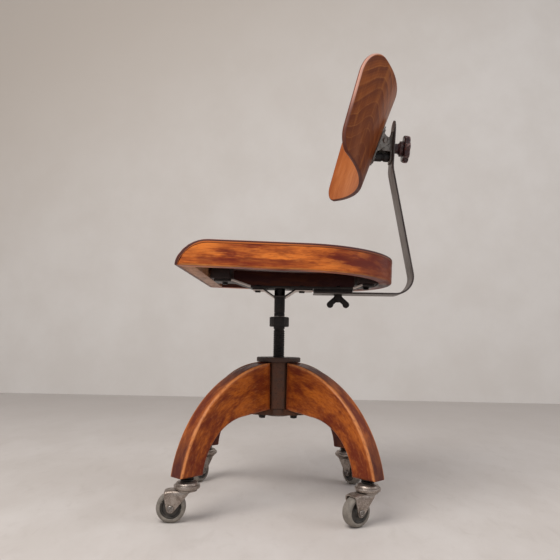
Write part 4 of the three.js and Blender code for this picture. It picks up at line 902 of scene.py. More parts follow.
leg_screws = [f"leg_screw_{corner}" for corner in LEG_BEARINGS]
heads = under_nodes(leg_screws, 3.3)
coach = grown("leg_coach_screws", coach_tree, {"Head Height": 0.0040}, heads)
coach.data.shade_flat()
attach(coach, "base")
coated(black_steel, *leg_screws)

# The casters, one in each foot: a plugged stem with a flange, a domed race of plated
# steel that turns on balls under it, a stamped fork with a hood that trails, and a grey
# rubber-tyred wheel on a slotted axle. No two of them trail the same way.

CASTER_CIRCLE = 213
TRAIL_BEARINGS = {"front_left": -84, "rear_left": -55, "front_right": -30, "rear_right": 32}
TRAIL, WHEEL_RADIUS = 25, 24.4
AXLE_HEAD = (5.5, 14.3, 2.5)  # radius, start and depth
CHEEK_OUTER, FORK_THICKNESS = 14, 2.5
CROWN_TOP, CROWN_RADIUS = 53, 17
HOOD_REACH, CHEEK_START, HOOD_DEPTH = 36, -6, 10
EYE_RADIUS = 7
DROOP, DROOP_START, DROOP_RUN = 2.2, 0.7, 0.3  # of the hood, in mm and as shares
RIB, RIB_MIDDLE, RIB_SPREAD = 0.9, 0.45, 0.2  # in mm, and as shares of the cheek
RIB_LOW, RIB_HIGH = WHEEL_RADIUS + 4, 49

plated = aged_metal(
    "worn_nickel",
    clean=(0.40, 0.345, 0.305, 1),
    dirty=(0.20, 0.155, 0.128, 1),
    spots=(0.10, 0.062, 0.045, 1),
    coarseness=70,
    spotting=0.8,
    roughness=0.32,
    metallic=0.85,
)
tyre_finish, tree, shader = new_finish("grey_rubber")
place = object_place(tree)
dust = eased(clouds(place, 90, 5, 0.6), 0.38, 0.66)
scuffs = eased(clouds(place, 420, 3, 0.6), 0.58, 0.72)
rubber_tone = mixed(dust, (0.165, 0.143, 0.122, 1), (0.250, 0.220, 0.188, 1))
rubber_tone = mixed(product(scuffs, 0.5), rubber_tone, (0.075, 0.068, 0.062, 1))
painted(shader, rubber_tone, eased(dust, 0, 1, 0.6, 0.78))
raised_by(shader, scuffs, 0.2, 0.0003)

disc_finish = aged_metal(
    "dark_wheel_disc",
    clean=(0.040, 0.036, 0.033, 1),
    dirty=(0.085, 0.074, 0.064, 1),
    spots=(0.02, 0.017, 0.015, 1),
    coarseness=90,
    spotting=0.5,
    roughness=0.45,
    metallic=0.3,
)


def turned_form(profile, sides):
    """A form turned about the upright axis from [radius, height] points, up the outside."""
    form = Form()
    rows = []
    turns = [2 * math.pi * i / sides for i in range(sides)]
    for radius, height in profile:
        if radius < 1e-6:
            rows.append([form.add((0, 0, height))])
            continue
        ring = [(radius * math.cos(t), radius * math.sin(t), height) for t in turns]
        rows.append([form.add(place) for place in ring])
    for first, second in zip(rows, rows[1:]):
        if len(first) == 1 or len(second) == 1:
            single, ring = (first, second) if len(first) == 1 else (second, first)
            for i in range(sides):
                face = (single[0], ring[i], ring[(i + 1) % sides])
                form.faces.append(face if single is second else face[::-1])
        else:
            form.band(first, second)
    return form


def rounded_line(points, radii, steps=4):
    """A line of 2D points with its inner corners rounded."""
    line = [tuple(points[0])]
    for before, corner, after, radius in zip(points, points[1:], points[2:], radii):
        corner = Vector(corner)
        back, on = Vector(before) - corner, Vector(after) - corner
        half = back.angle(on) / 2
        if radius <= 0 or half > math.radians(88):
            line.append(tuple(corner))
            continue
        cut = min(radius / math.tan(half), back.length * 0.49, on.length * 0.49)
        radius = cut * math.tan(half)
        back.normalize()
        on.normalize()
        centre = corner + (back + on).normalized() * (radius / math.sin(half))
        first, last = corner + back * cut - centre, corner + on * cut - centre
        sweep = first.angle_signed(last)
        for k in range(steps + 1):
            turn = -sweep * k / steps
            x = first.x * math.cos(turn) - first.y * math.sin(turn)
            y = first.x * math.sin(turn) + first.y * math.cos(turn)
            line.append((centre.x + x, centre.y + y))
    line.append(tuple(points[-1]))
    return line


def turned_soft(points, radii, sides):
    """A turned form whose profile has its corners rounded."""
    return turned_form(rounded_line(points, radii), sides)


lying = Matrix.Translation((TRAIL, 0, WHEEL_RADIUS)) @ Matrix.Rotation(math.pi / 2, 4, "X")
tyre_form = turned_soft(
    [
        (17.4, 0), (17.4, -9.2), (18.3, -10), (21.2, -10), (24.4, -6), (24.4, 6), (21.2, 10),
        (18.3, 10), (17.4, 9.2), (17.4, 0),
    ],
    [0.4, 0.6, 2.2, 4.5, 4.5, 2.2, 0.6, 0.4],
    56,
).moved(lying)
wheel_form = turned_soft(
    [
        (4.5, 0), (4.5, -10), (7.4, -10), (8.6, -6.6), (13.4, -5.6), (14.6, -7.6),
        (16.9, -8.6), (16.9, 0), (16.9, 8.6), (14.6, 7.6), (13.4, 5.6), (8.6, 6.6),
        (7.4, 10), (4.5, 10), (4.5, 0),
    ],
    [0.3, 0.8, 1.5, 1.2, 1.0, 0.8, 0, 0.8, 1.0, 1.2, 1.5, 0.8, 0.3],
    48,
).moved(lying)


def slotted_end(start, depth, radius):
    """A domed screw head on +Z with a straight slot, made as one closed form."""
    form = Form()
    rings = []
    rises = [(1.0, 0.0), (1.0, 0.45), (0.93, 0.75), (0.78, 0.93), (0.5, 1.0), (0.22, 1.0)]
    sides = 36
    for share, up in rises:
        ring = []
        for i in range(sides):
            t = 2 * math.pi * i / sides
            x, y = radius * share * math.cos(t), radius * share * math.sin(t)
            in_slot = abs(y) < radius * 0.16 and up > 0.8
            ring.append(form.add((x, y, start + depth * (0.55 if in_slot else up))))
        rings.append(ring)
    form.skin(rings)
    form.faces.append(tuple(rings[-1]))
    form.faces.append(tuple(reversed(rings[0])))
    return form


axle_form = turned_form([(0, -14.4), (4, -14.4), (4, 14.4), (0, 14.4)], 24)
for flip in (0, math.pi):
    turn = Matrix.Rotation(flip, 4, "X") @ Matrix.Rotation(0.7 + flip, 4, "Z")
    axle_form.with_form(slotted_end(AXLE_HEAD[1], AXLE_HEAD[2], AXLE_HEAD[0]).moved(turn))
axle_form = axle_form.moved(lying)

race_form = turned_soft(
    [
        (5.8, 53.4), (18.6, 53.4), (21.4, 55.2), (22, 58.0), (21.6, 60.2), (19.3, 60.9),
        (19.0, 62.2), (17.4, 64.6), (11.5, 66.4), (5.8, 66.4), (5.8, 53.4),
    ],
    [1.0, 1.6, 2.0, 1.0, 0.6, 1.0, 2.5, 2.5, 0.2],
    56,
)
stem_form = turned_soft(
    [
        (0, 47.6), (6.6, 47.6), (8, 49.0), (8, 50.1), (5.5, 50.1), (5.5, 67.2), (10.4, 67.6),
        (11.5, 68.4), (11.5, 69.6), (5.6, 70.4), (5.6, 71.7), (11.5, 71.7), (11.5, 73.7),
        (5.5, 73.7), (5.5, 112), (0, 112),
    ],
    [1.2, 1.0, 0.3, 0.2, 0.2, 0.5, 0.4, 0.5, 0.2, 0.2, 0.5, 0.5, 0.2, 0.2],
    40,
)


def in_millimetres(place):
    return (place - Vector((0, SPINDLE_OUT, 0))) / MILLIMETRE


def fork_stamping():
    """Crown, hood and cheeks of one sheet: rows down each cheek, and over the hood."""
    shoulder = 4.0
    middle = CHEEK_OUTER - FORK_THICKNESS / 2
    top = CROWN_TOP - FORK_THICKNESS / 2
    crown_under = CROWN_TOP - FORK_THICKNESS
    lean = math.atan2(crown_under - WHEEL_RADIUS, TRAIL - CHEEK_START)
    eye_out, eye_up = EYE_RADIUS * math.sin(lean), EYE_RADIUS * math.cos(lean)
    eye_left = Vector((TRAIL - eye_out, WHEEL_RADIUS - eye_up))

    def edges(height):
        """How far out the cheek starts and ends at a height."""
        if height > crown_under:
            start = CHEEK_START
        elif height > eye_left.y:
            share = (crown_under - height) / (crown_under - eye_left.y)
            start = CHEEK_START + (eye_left.x - CHEEK_START) * share
        else:
            drop = max(EYE_RADIUS**2 - (height - WHEEL_RADIUS) ** 2, 0)
            start = TRAIL - math.sqrt(drop)
        lip = CROWN_TOP - HOOD_DEPTH
        if height > lip:
            end = HOOD_REACH
        elif height > WHEEL_RADIUS:
            share = (lip - height) / (lip - WHEEL_RADIUS)
            end = HOOD_REACH + (TRAIL + EYE_RADIUS - HOOD_REACH) * share
        else:
            end = TRAIL + math.sqrt(max(EYE_RADIUS**2 - (height - WHEEL_RADIUS) ** 2, 0))
        return start, end

    low = WHEEL_RADIUS - EYE_RADIUS
    heights = [low + 0.02, low + 0.3, low + 0.9, low + 2, low + 3.6, low + 5.4, WHEEL_RADIUS]
    heights += [WHEEL_RADIUS + 3 * k for k in range(1, 7)]
    heights += [CROWN_TOP - HOOD_DEPTH, 46.2]
    line = [(middle, h) for h in heights]
    for k in range(1, 7):
        turn = math.pi / 2 * k / 6
        over, up = shoulder * math.cos(turn), shoulder * math.sin(turn)
        line.append((middle - shoulder + over, top - shoulder + up))
    line += [(middle - shoulder - 3.4 * k, top) for k in (1, 2)]
    line += [(-x, h) for x, h in reversed(line)]
    form = Form()
    columns = 17
    rows = []
    for across, height in line:
        start, end = edges(height)
        row = []
        for k in range(columns):
            share = k / (columns - 1)
            out = start + (end - start) * share
            on_cheek = abs(across) > middle - 0.01
            droop = rib = 0.0
            if not on_cheek and share > DROOP_START:
                droop = DROOP * ((share - DROOP_START) / DROOP_RUN) ** 2
            if on_cheek and RIB_LOW < height < RIB_HIGH:
                rib = RIB * math.exp(-(((share - RIB_MIDDLE) / RIB_SPREAD) ** 2))
            row.append(form.add((out, across + math.copysign(rib, across), height - droop)))
        rows.append(row)
    form.skin(rows, closed=False)
    made = set_down("fork_sheet", form)
    wall = made.modifiers.new("wall", "SOLIDIFY")
    wall.thickness = FORK_THICKNESS * MILLIMETRE
    wall.offset = 0
    wall.use_even_offset = True
    rounded_edges(made, 0.5, 2, 50)
    baked = settled(made).data
    sheet = Form()
    for vertex in baked.vertices:
        sheet.add(in_millimetres(vertex.co))
    sheet.faces = [tuple(p.vertices) for p in baked.polygons]
    bpy.data.objects.remove(made)
    rim, bore, foot = CROWN_RADIUS, 5.9, crown_under
    section = [(bore, foot), (rim, foot), (rim, CROWN_TOP), (bore, CROWN_TOP), (bore, foot)]
    return sheet.with_form(turned_soft(section, [0.7, 0.7, 0.2], 44))


fork_form = fork_stamping()
for corner, bearing in LEG_BEARINGS.items():
    around = math.radians(bearing + BASE_TURN)
    foot = Vector((CASTER_CIRCLE * math.cos(around), CASTER_CIRCLE * math.sin(around), 0))
    fixed = Matrix.Translation(foot) @ Matrix.Rotation(around, 4, "Z")
    trail = math.radians(TRAIL_BEARINGS[corner])
    trailing = Matrix.Translation(foot) @ Matrix.Rotation(trail, 4, "Z")
    for kind, form, matrix, body, slot, finish in (
        ("stem", stem_form, fixed, "base", "black_steel", black_steel),
        ("race", race_form, fixed, "base", "plated_steel", plated),
        ("fork", fork_form, trailing, f"swivel_{corner}", "plated_steel", plated),
        ("axle", axle_form, trailing, f"swivel_{corner}", "worn_steel", dull_steel),
        ("tyre", tyre_form, trailing, f"wheel_{corner}", "grey_rubber", tyre_finish),
        ("wheel", wheel_form, trailing, f"wheel_{corner}", "black_steel", disc_finish),
    ):
        made = set_down(f"{kind}_piece_{corner}", form.moved(matrix))
        finish_piece(made, body, finish, [f"caster_{kind}_{corner}"])

# The spindle: a black steel screw that stands in the hub's bush. Its thread is coarse and
# rounded, a six-sided collar is shrunk on over it for a spanner, and a plain pivot above
# carries the seat. A washer lies on the collar, and the seat's socket turns on that.

THREAD_STARTS = 2
THREAD_FOOT, THREAD_TOP = 172, 321

thread_tree, given, gives = geometry_tree(
    "screw_thread", {"Radius": 0.011, "Depth": 0.0009, "Lead": 0.008, "Length": 0.1, "Rings": 100}
)
tree = thread_tree
bar = join(
    tree,
    "GeometryNodeMeshCylinder",
    {
        "Vertices": 44,
        "Side Segments": given.outputs["Rings"],
        "Radius": given.outputs["Radius"],
        "Depth": given.outputs["Length"],
    },
)
position = join(tree, "GeometryNodeInputPosition").outputs[0]
split = parts_of(position)
turn = worked("DIVIDE", worked("ARCTAN2", split[1], split[0]), 2 * math.pi)
turns_up = minus(worked("DIVIDE", split[2], given.outputs["Lead"]), turn)
phase = worked("FRACT", product(turns_up, THREAD_STARTS))
off_crest = worked("ABSOLUTE", minus(phase, 0.5))
sunk = eased(off_crest, 0.18, 0.38)
end_gap = minus(product(given.outputs["Length"], 0.5), worked("ABSOLUTE", split[2]))
chamfer = eased(end_gap, 0.0, 0.002, 1.0, 0.0)
drop = product(worked("MAXIMUM", sunk, chamfer), given.outputs["Depth"])
shrink = minus(1.0, worked("DIVIDE", drop, given.outputs["Radius"]))
flat = join(tree, "ShaderNodeCombineXYZ", {"X": shrink, "Y": shrink, "Z": 1.0})
moved = join(tree, "ShaderNodeVectorMath", {0: position, 1: flat.outputs[0]}, operation="MULTIPLY")
inputs = {"Geometry": bar.outputs["Mesh"], "Position": moved.outputs[0]}
cut = join(tree, "GeometryNodeSetPosition", inputs)
handed_over(cut.outputs[0], black_steel, gives)

thread_length = THREAD_TOP - THREAD_FOOT
threaded = grown(
    "spindle_thread",
    thread_tree,
    {"Length": thread_length * MILLIMETRE, "Rings": thread_length * 3},
    bpy.data.meshes.new("spindle_start"),
)
middle = Vector((0, SPINDLE_OUT, (THREAD_FOOT + thread_length / 2) * MILLIMETRE))
threaded.data.transform(Matrix.Translation(middle))
finish_piece(threaded, "spindle", black_steel, ["spindle"], sharp=50)
shank = turned_soft(
    [
        (0, 318), (9.4, 318), (9.4, 322.5), (11, 324), (11, 347), (6.5, 347), (6.5, 401.2),
        (0, 401.2),
    ],
    [0.2, 0.5, 0.5, 0.6, 0.3, 1.0],
    44,
)
finish_piece(set_down("spindle_shank", shank), "spindle", black_steel, ["spindle"])
collar = softened("hex_collar", "collar_nut", 0.5, angle=18)
finish_piece(collar, "spindle", black_steel, ["hex_collar"], sharp=22)
coated(dull_steel, "thrust_washer")

socket = turned_soft(
    [
        (6.9, 349.1), (10.5, 349.1), (10.5, 353.5), (9.9, 354.2), (9.9, 355.4),
        (10.5, 356.2), (10.5, 398), (10.5, 401.2), (6.9, 401.2), (6.9, 349.1),
    ],
    [0.8, 0.5, 0.3, 0.3, 0.5, 0.2, 0.4, 0.2],
    44,
)
tube = set_down("seat_socket_tube", socket)
finish_piece(tube, "seat", black_steel, ["seat_socket"])

# The straps: two wide flat bars of mild steel. The main one runs from the front of the
# seat to the back, bent up at its ends to the wooden pads it is screwed to. The second is
# bowed down under it to grip the socket, and two domed bolts hold them together.

strap_steel = aged_metal(
    "strap_steel",
    clean=(0.040, 0.033, 0.031, 1),
    dirty=(0.020, 0.016, 0.015, 1),
    spots=(0.12, 0.10, 0.09, 1),
    coarseness=45,
    spotting=0.35,
    roughness=0.34,
    metallic=0.6,
)
tree = strap_steel.node_tree
shader = tree.nodes["Principled BSDF"]
dark = shader.inputs["Base Color"].links[0].from_socket
# Painted highlight and painted reflection: the marked faces of the straps are made nearly white.
bare = product(from_attribute(tree, "wear_and_highlight", "Fac"), 0.85)
painted(shader, mixed(bare, dark, (0.80, 0.70, 0.64, 1)))
STRAP_SLOPES = ((-94, -56), (142, 160))


def lit_faces(made, worn_and_lit):
    """Marks each face's painted highlight, from its middle in the CAD's millimetres and its normal.
    """
    wear_and_highlight = made.data.attributes.new("wear_and_highlight", "FLOAT", "FACE")
    shares = [worn_and_lit(in_millimetres(face.center), face.normal) for face in made.data.polygons]
    wear_and_highlight.data.foreach_set("value", shares)


def cut_at_slopes(work):
    """Splits the strap's long side faces where its slopes start and end."""
    for out in [end for slope in STRAP_SLOPES for end in slope]:
        place = (0, out * MILLIMETRE + SPINDLE_OUT, 0)
        everything = work.verts[:] + work.edges[:] + work.faces[:]
        bmesh.ops.bisect_plane(work, geom=everything, plane_co=place, plane_no=(0, 1, 0))


def strap_slope_highlight(middle, normal):
    """Painted highlight on the cut edges of the slopes, where the straps were bent."""
    return float(abs(normal.x) > 0.5 and any(low < middle.y < high for low, high in STRAP_SLOPES))


def bow_underside_reflection(middle, normal):
    """Painted reflection of the floor's light on the bow's underside, away from its middle."""
    return 0.9 * float(normal.z < -0.7 and abs(normal.x) < 0.2 and abs(middle.y) > 12)


for node, name, worn_and_lit, split in (
    ("main_strap", "main_strap_bar", strap_slope_highlight, cut_at_slopes),
    ("bow_strap", "bowed_strap_bar", bow_underside_reflection, None),
):
    made = softened(node, name, 0.6, angle=40, extra=split)
    lit_faces(made, worn_and_lit)
    finish_piece(made, "seat", strap_steel, [node])
packing = softened("bar_packing", "packing_plate", 0.5)
finish_piece(packing, "seat", black_steel, ["bar_packing"])


def domed_head(tree, given):
    """A low dome of stacked cones, with a thin washer-like foot."""
    radius, height = given.outputs["Head Radius"], given.outputs["Head Height"]
    slices = [
        # shares of the radius below and above, then of the height: where it starts, how deep
        (1.0, 1.0, 0.0, 0.30),
        (1.0, 0.90, 0.30, 0.28),
        (0.90, 0.66, 0.58, 0.24),
        (0.66, 0.30, 0.82, 0.18),
    ]
    parts = []
    for low, high, start, depth in slices:
        wide, narrow = product(radius, low), product(radius, high)
        deep, up = product(height, depth), product(height, start - 0.001)
        parts.append(cone(tree, 28, wide, narrow, deep, up))
    return joined(tree, parts)


dome_sizes = {"Head Radius": 0.0058, "Head Height": 0.0032}
dome_tree = fixing_tree("domed_bolts", dome_sizes, domed_head, black_steel)


def dome_group(name, nodes, sizes, sink):
    """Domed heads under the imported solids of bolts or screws."""
    made = grown(name, dome_tree, sizes, under_nodes(nodes, sink))
    made.data.shade_smooth()
    made.data.set_sharp_from_angle(angle=math.radians(50))
    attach(made, "seat")
    coated(black_steel, *nodes)


dome_group("strap_bolt_heads", ["bow_bolt_front", "bow_bolt_rear"], {}, 3.2)
pad_screw_sizes = {"Head Radius": 0.006, "Head Height": 0.0038}
dome_group("pad_screw_heads", ["pad_screw_front", "pad_screw_rear"], pad_screw_sizes, 3.8)

# The seat: a moulded plywood sheet, dished for the sitter and rolled down at the front,
# glued on a bent beech rim with a raw rail across the front. Two raw pads join the straps
# to it, coloured near black as painted shade. The stain on the rim is streaked and blotched,
# and worn pale along its edges, partly as a painted highlight; the sheet's underside and
# the rim's inner faces get painted shade.

SEAT_HALF, SEAT_FRONT, SIDE_END, SEAT_REAR = 213, -169, 47.5, 217
SEAT_HEIGHT, SEAT_UNDER, SEAT_TILT = 44.4, 417, 1.6
SEAT_CORNER, SHEET = 6, 6
NOSE_RADIUS = 56
NOSE_UP = SEAT_HEIGHT - NOSE_RADIUS
NOSE_OUT = SEAT_FRONT + math.sqrt(NOSE_RADIUS**2 - NOSE_UP**2)
DISH, DISH_EDGE = 15, 0.86
FRONT_STEPS, SIDE_STEPS, ROUND_STEPS, CORNER_STEPS = 24, 26, 84, 6  # of the outline
RIM_DEPTH = 25
tilted = Matrix.Translation((0, 0, SEAT_UNDER)) @ Matrix.Rotation(math.radians(-SEAT_TILT), 4, "X")


def seat_outline(margin):
    """The seat's plan, drawn inwards by a margin, from the front left corner round."""
    half, front = SEAT_HALF - margin, SEAT_FRONT + margin
    corner = max(SEAT_CORNER - margin, 0.5)
    points = []
    for i in range(FRONT_STEPS):
        points.append(Vector(((half - corner) * (2 * i / FRONT_STEPS - 1), front)))
    for i in range(CORNER_STEPS + 1):
        t = -math.pi / 2 + math.pi / 2 * i / CORNER_STEPS
        points.append(on_arc(half - corner, front + corner, corner, t))
    start = front + corner
    for i in range(1, SIDE_STEPS):
        points.append(Vector((half, start + (SIDE_END - start) * i / SIDE_STEPS)))
    for i in range(ROUND_STEPS + 1):
        t = math.pi * i / ROUND_STEPS
        out = SIDE_END + (SEAT_REAR - margin - SIDE_END) * math.sin(t)
        points.append(Vector((half * math.cos(t), out)))
    for i in range(SIDE_STEPS - 1, 0, -1):
        points.append(Vector((-half, start + (SIDE_END - start) * i / SIDE_STEPS)))
    for i in range(CORNER_STEPS):
        t = math.pi + math.pi / 2 * i / CORNER_STEPS
        points.append(on_arc(corner - half, front + corner, corner, t))
    return points


def sheet_point(point, share, below):
    """Where a plan point lies on the moulded sheet, some way below its top face."""
    roll = math.asin(max(NOSE_OUT - point.y, 0) / NOSE_RADIUS)
    radius = NOSE_RADIUS - below
    bowl = max(1 - (share / DISH_EDGE) ** 2, 0) ** 2
    out = NOSE_OUT - radius * math.sin(roll) if roll > 0 else point.y
    return Vector((point.x, out, max(NOSE_UP + radius * math.cos(roll) - DISH * bowl, 0.0)))


def inset_loop(loop, distance):
    """The loop moved inwards by an even distance."""
    moved = []
    for i, point in enumerate(loop):
        back = (point - loop[i - 1]).normalized()
        on = (loop[(i + 1) % len(loop)] - point).normalized()
        first, second = Vector((-back.y, back.x)), Vector((-on.y, on.x))
        inward = (first + second).normalized()
        moved.append(point + inward * (distance / max(inward.dot(first), 0.4)))
    return moved


def moulded_sheet(loop, place, thickness, edge, insets, shares):
    """A sheet inside a loop, its edge rounded on both faces, closed by a middle point."""
    form = Form()
    skins = []

    def ring_of(points, share, below, rubbed_and_lit=0.0):
        return [form.add(place(p, share, below), (p.x, p.y, below), rubbed_and_lit) for p in points]

    for face in (0, 1):
        rings = []
        for inset in insets:
            dip = edge - math.sqrt(max(edge**2 - max(edge - inset, 0) ** 2, 0))
            below = dip if face == 0 else thickness - dip
            rubbed_and_lit = rub_and_highlight_share(inset, edge)
            rings.append(ring_of(inset_loop(loop, inset), 1.0, below, rubbed_and_lit))
        inner = inset_loop(loop, insets[-1])
        below = 0 if face == 0 else thickness
        for share in shares:
            rings.append(ring_of([point * share for point in inner], share * 0.985, below))
        middle = form.add(place(Vector((0, 0)), 0, below), (0, 0, below))
        form.skin(rings)
        last = rings[-1]
        for i in range(len(last)):
            form.faces.append((last[i], last[(i + 1) % len(last)], middle))
        skins.append(rings[0])
    upper = skins[0]
    for share in (0.25, 0.5, 0.75):
        below = edge + (thickness - 2 * edge) * share
        ring = ring_of(loop, 1.0, below, 1.0)
        form.band(upper, ring)
        upper = ring
    form.band(upper, skins[1])
    return form


seat_shares = [0.985, 0.965, 0.945, 0.92, 0.895, 0.87, 0.845, 0.815, 0.78, 0.745, 0.71]
seat_shares += [0.67, 0.62, 0.56, 0.5, 0.43, 0.36, 0.29, 0.22, 0.15, 0.08]
seat_insets = [0, 0.1, 0.35, 0.7, 1.0, 2.0]
seat_form = moulded_sheet(seat_outline(0), sheet_point, SHEET, 1.0, seat_insets, seat_shares)


def panel_wood():
    """Stained plywood with its plies showing along the edge, and painted shade underneath."""
    material, tree, shader = new_finish("seat_panel_wood", Specular_IOR_Level=0.3)
    grain = from_attribute(tree, "grain", "Vector")
    inputs = {"Vector": grain, "Angle": math.pi / 2}
    turned = join(tree, "ShaderNodeVectorRotate", inputs, rotation_type="Z_AXIS")
    looks = {
        "ground": (0.40, 0.105, 0.020, 1),
        "stain": (0.23, 0.052, 0.012, 1),
        "pale": (0.50, 0.19, 0.07, 1),
        "soaked": 0.5,
        "streaks": 0.4,
    }
    wear_and_highlight = product(from_attribute(tree, "wear_and_highlight", "Fac"), 0.4)
    effect = stained_by(tree, turned.outputs[0], wear_and_highlight, looks)
    depth = parts_of(grain)[2]
    # Painted shade: the sheet's underside, in the recess under the seat, is made near black.
    under = eased(depth, 0.0050, 0.0058)
    ply = worked("ABSOLUTE", worked("SINE", product(depth, math.pi / 0.0015)))
    on_edge = product(eased(depth, 0.0008, 0.0012), minus(1.0, under))
    out = parts_of(grain)[1]
    lip = eased(out, -0.125, -0.160, 0.0030, 0.0048)
    top_ply = product(eased(depth, 0.0004, 0.0007), worked("LESS_THAN", depth, lip))
    tone = mixed(on_edge, effect.outputs["Color"], (0.50, 0.130, 0.024, 1))
    tone = mixed(product(on_edge, eased(ply, 0.2, 0.0, 0.0, 0.35)), tone, (0.20, 0.04, 0.012, 1))
    tone = mixed(eased(out, 0.0, 0.13, 0.0, 0.7), tone, (0.115, 0.024, 0.018, 1))
    tone = mixed(product(top_ply, 0.92), tone, (0.050, 0.018, 0.022, 1))
    tone = mixed(under, tone, mixed(0.90, effect.outputs["Color"], (0.028, 0.010, 0.013, 1)))
    painted(shader, tone, effect.outputs["Roughness"])
    raised_by(shader, effect.outputs["Height"], 0.25, 0.0004)
    return material


panel = set_down("moulded_seat", seat_form.moved(tilted))
finish_piece(panel, "seat", panel_wood(), ["seat_panel"], sharp=40)


def darker_behind(tree, tone):
    """Darker purple-brown towards the back, and painted shade on the inner faces."""
    split = parts_of(object_place(tree))
    inward = parts_of(from_attribute(tree, "grain", "Vector"))[2]
    lie = from_attribute(tree, "grain", "Vector")
    drawn = clouds(stretched(lie, (0.30, 1.3, 1), (2, 6, 1)), 48, 4, 0.6)
    midway = parts_of(lie)[1]
    midway = eased(worked("ABSOLUTE", minus(midway, 0.021)), 0.016, 0.004)
    streak = product(eased(drawn, 0.46, 0.60), total(product(midway, 0.6), 0.12))
    tone = mixed(streak, tone, (0.115, 0.012, 0.006, 1))
    glow = product(eased(drawn, 0.50, 0.38), 0.35)
    tone = mixed(glow, tone, (0.92, 0.28, 0.045, 1))
    patchy = product(clouds(object_place(tree), 22, 4, 0.6), 0.12)
    behind = eased(minus(split[1], patchy), -0.02, 0.12, 0.0, 0.82)
    tone = mixed(behind, tone, (0.135, 0.015, 0.006, 1))
    # Painted shade on the rim's inner faces, inside the recess under the seat.
    inner = eased(inward, 0.0235, 0.0245, 0.0, 0.92)
    return mixed(inner, tone, (0.034, 0.013, 0.014, 1))


rim_wood = stained_wood(
    "seat_rim_wood",
    ground=(0.74, 0.195, 0.030, 1),
    stain=(0.185, 0.020, 0.007, 1),
    pale=(0.78, 0.32, 0.085, 1),
    soaked=0.62,
    streaks=0.4,
    length=2.2,
    shaded=darker_behind,
)


def rim_form():
    """A bent rim: a tall section swept back along one side, round, and along the other."""
    loop = seat_outline(0.3)
    count = len(loop)
    first = FRONT_STEPS + CORNER_STEPS  # past the front edge and its corner
    path = [loop[(first + i) % count] for i in range(count - first - CORNER_STEPS + 1)]
    form = Form()
    rows = []
    walked = 0.0
    deepest = NOSE_RADIUS - SHEET - 0.03
    for i, point in enumerate(path):
        before, after = path[max(i - 1, 0)], path[min(i + 1, len(path) - 1)]
        ahead = (after - before).normalized()
        inward = Vector((-ahead.y, ahead.x))
        if i:
            walked += (point - path[i - 1]).length

        def ceiling(out):
            if out >= NOSE_OUT:
                return SEAT_HEIGHT - SHEET - 0.03
            return NOSE_UP + math.sqrt(max(deepest**2 - (NOSE_OUT - out) ** 2, 0))

        start = NOSE_OUT - math.sqrt(deepest**2 - (NOSE_UP - 0.6) ** 2)
        out = max(point.y, start)
        top = max(ceiling(out), 0.6)
        lift = min(3.0, top / 3)
        section = [(RIM_DEPTH, 1.2, 0.3), (RIM_DEPTH - 1.2, 0, 0.4), (10, 0, 0.15), (6, 0, 0.45)]
        for k in range(6):
            t = math.pi / 2 * k / 5
            rubbed_and_lit = 0.75 if 0 < k < 5 else 0.35
            section.append((lift - lift * math.sin(t), lift - lift * math.cos(t), rubbed_and_lit))
        section += [(0, min(lift + 2, top * 0.5), 0.1), (0, min(lift + 7, top * 0.6), 0.0)]
        section += [(0, top * 0.75, 0.0), (0, top - 0.4, 0.0), (0.4, top, 0.0)]
        section += [(RIM_DEPTH * 0.5, top, 0.0), (RIM_DEPTH - 0.6, top, 0.0)]
        section += [(RIM_DEPTH, top - 0.8, 0.0), (RIM_DEPTH, top * 0.5, 0.0)]
        row = []
        for depth, up, rubbed_and_lit in section:
            spot = Vector((point.x, out)) + inward * depth
            row.append(form.add((spot.x, spot.y, min(up, top)), (walked, up, depth), rubbed_and_lit))
        rows.append(row)
    form.skin(rows, capped=True)
    return form.moved(tilted)


rim = set_down("bent_seat_rim", rim_form())
finish_piece(rim, "seat", rim_wood, ["seat_rim"], sharp=40)

raw_wood = stained_wood(
    "raw_beech",
    ground=(0.50, 0.250, 0.135, 1),
    stain=(0.26, 0.105, 0.052, 1),
    pale=(0.50, 0.31, 0.19, 1),
    soaked=0.35,
    streaks=0.35,
)
# The pads are raw beech; this near-black colour is painted shade, as they sit in the recess under
# the seat.
pad_wood_painted_shade = stained_wood(
    "beech_painted_shade",
    ground=(0.030, 0.012, 0.009, 1),
    stain=(0.014, 0.006, 0.005, 1),
    pale=(0.09, 0.045, 0.03, 1),
    soaked=0.5,
    streaks=0.4,
)
for node, name, finish in (
    ("seat_front_rail", "front_rail_block", raw_wood),
    ("seat_front_pad", "front_pad_block", pad_wood_painted_shade),
    ("seat_rear_pad", "rear_pad_block", pad_wood_painted_shade),
):
    made = softened(node, name, 0.8, angle=40)
    grain = made.data.attributes.new("grain", "FLOAT_VECTOR", "POINT")
    grain.data.foreach_set("vector", [c for v in made.data.vertices for c in v.co])
    made.data.attributes.new("wear_and_highlight", "FLOAT", "POINT")
    finish_piece(made, "seat", finish, [node])

# The back bar: one flat strip of spring steel that slides under the seat, bends up in a
# wide sweep behind it and stands up to the backrest. Its top is rounded, and a slot at
# each end takes the clamping screws. Its brown-grey face is worn bright near the edges,
# partly as a painted highlight, and is darker along the edges themselves.

BAR_HALF, BAR_THICKNESS = 28, 3.2
BAR_UP, KNOB_UP = 394.3, 690.5
STAND_OUT, STAND_UP = 219, 644  # where the leaning upright starts
BAR_CORNERS = [(66.7, BAR_UP), (264.3, BAR_UP), (STAND_OUT, STAND_UP)]
BAR_TOP, BAR_LEAN = 747, math.radians(3.5)
BAR_CORNERS.append((STAND_OUT + (BAR_TOP - STAND_UP) * math.tan(BAR_LEAN), BAR_TOP))
SLOT_HALF = 4.5
KNOB_OUT = STAND_OUT + (KNOB_UP - STAND_UP) * math.tan(BAR_LEAN)

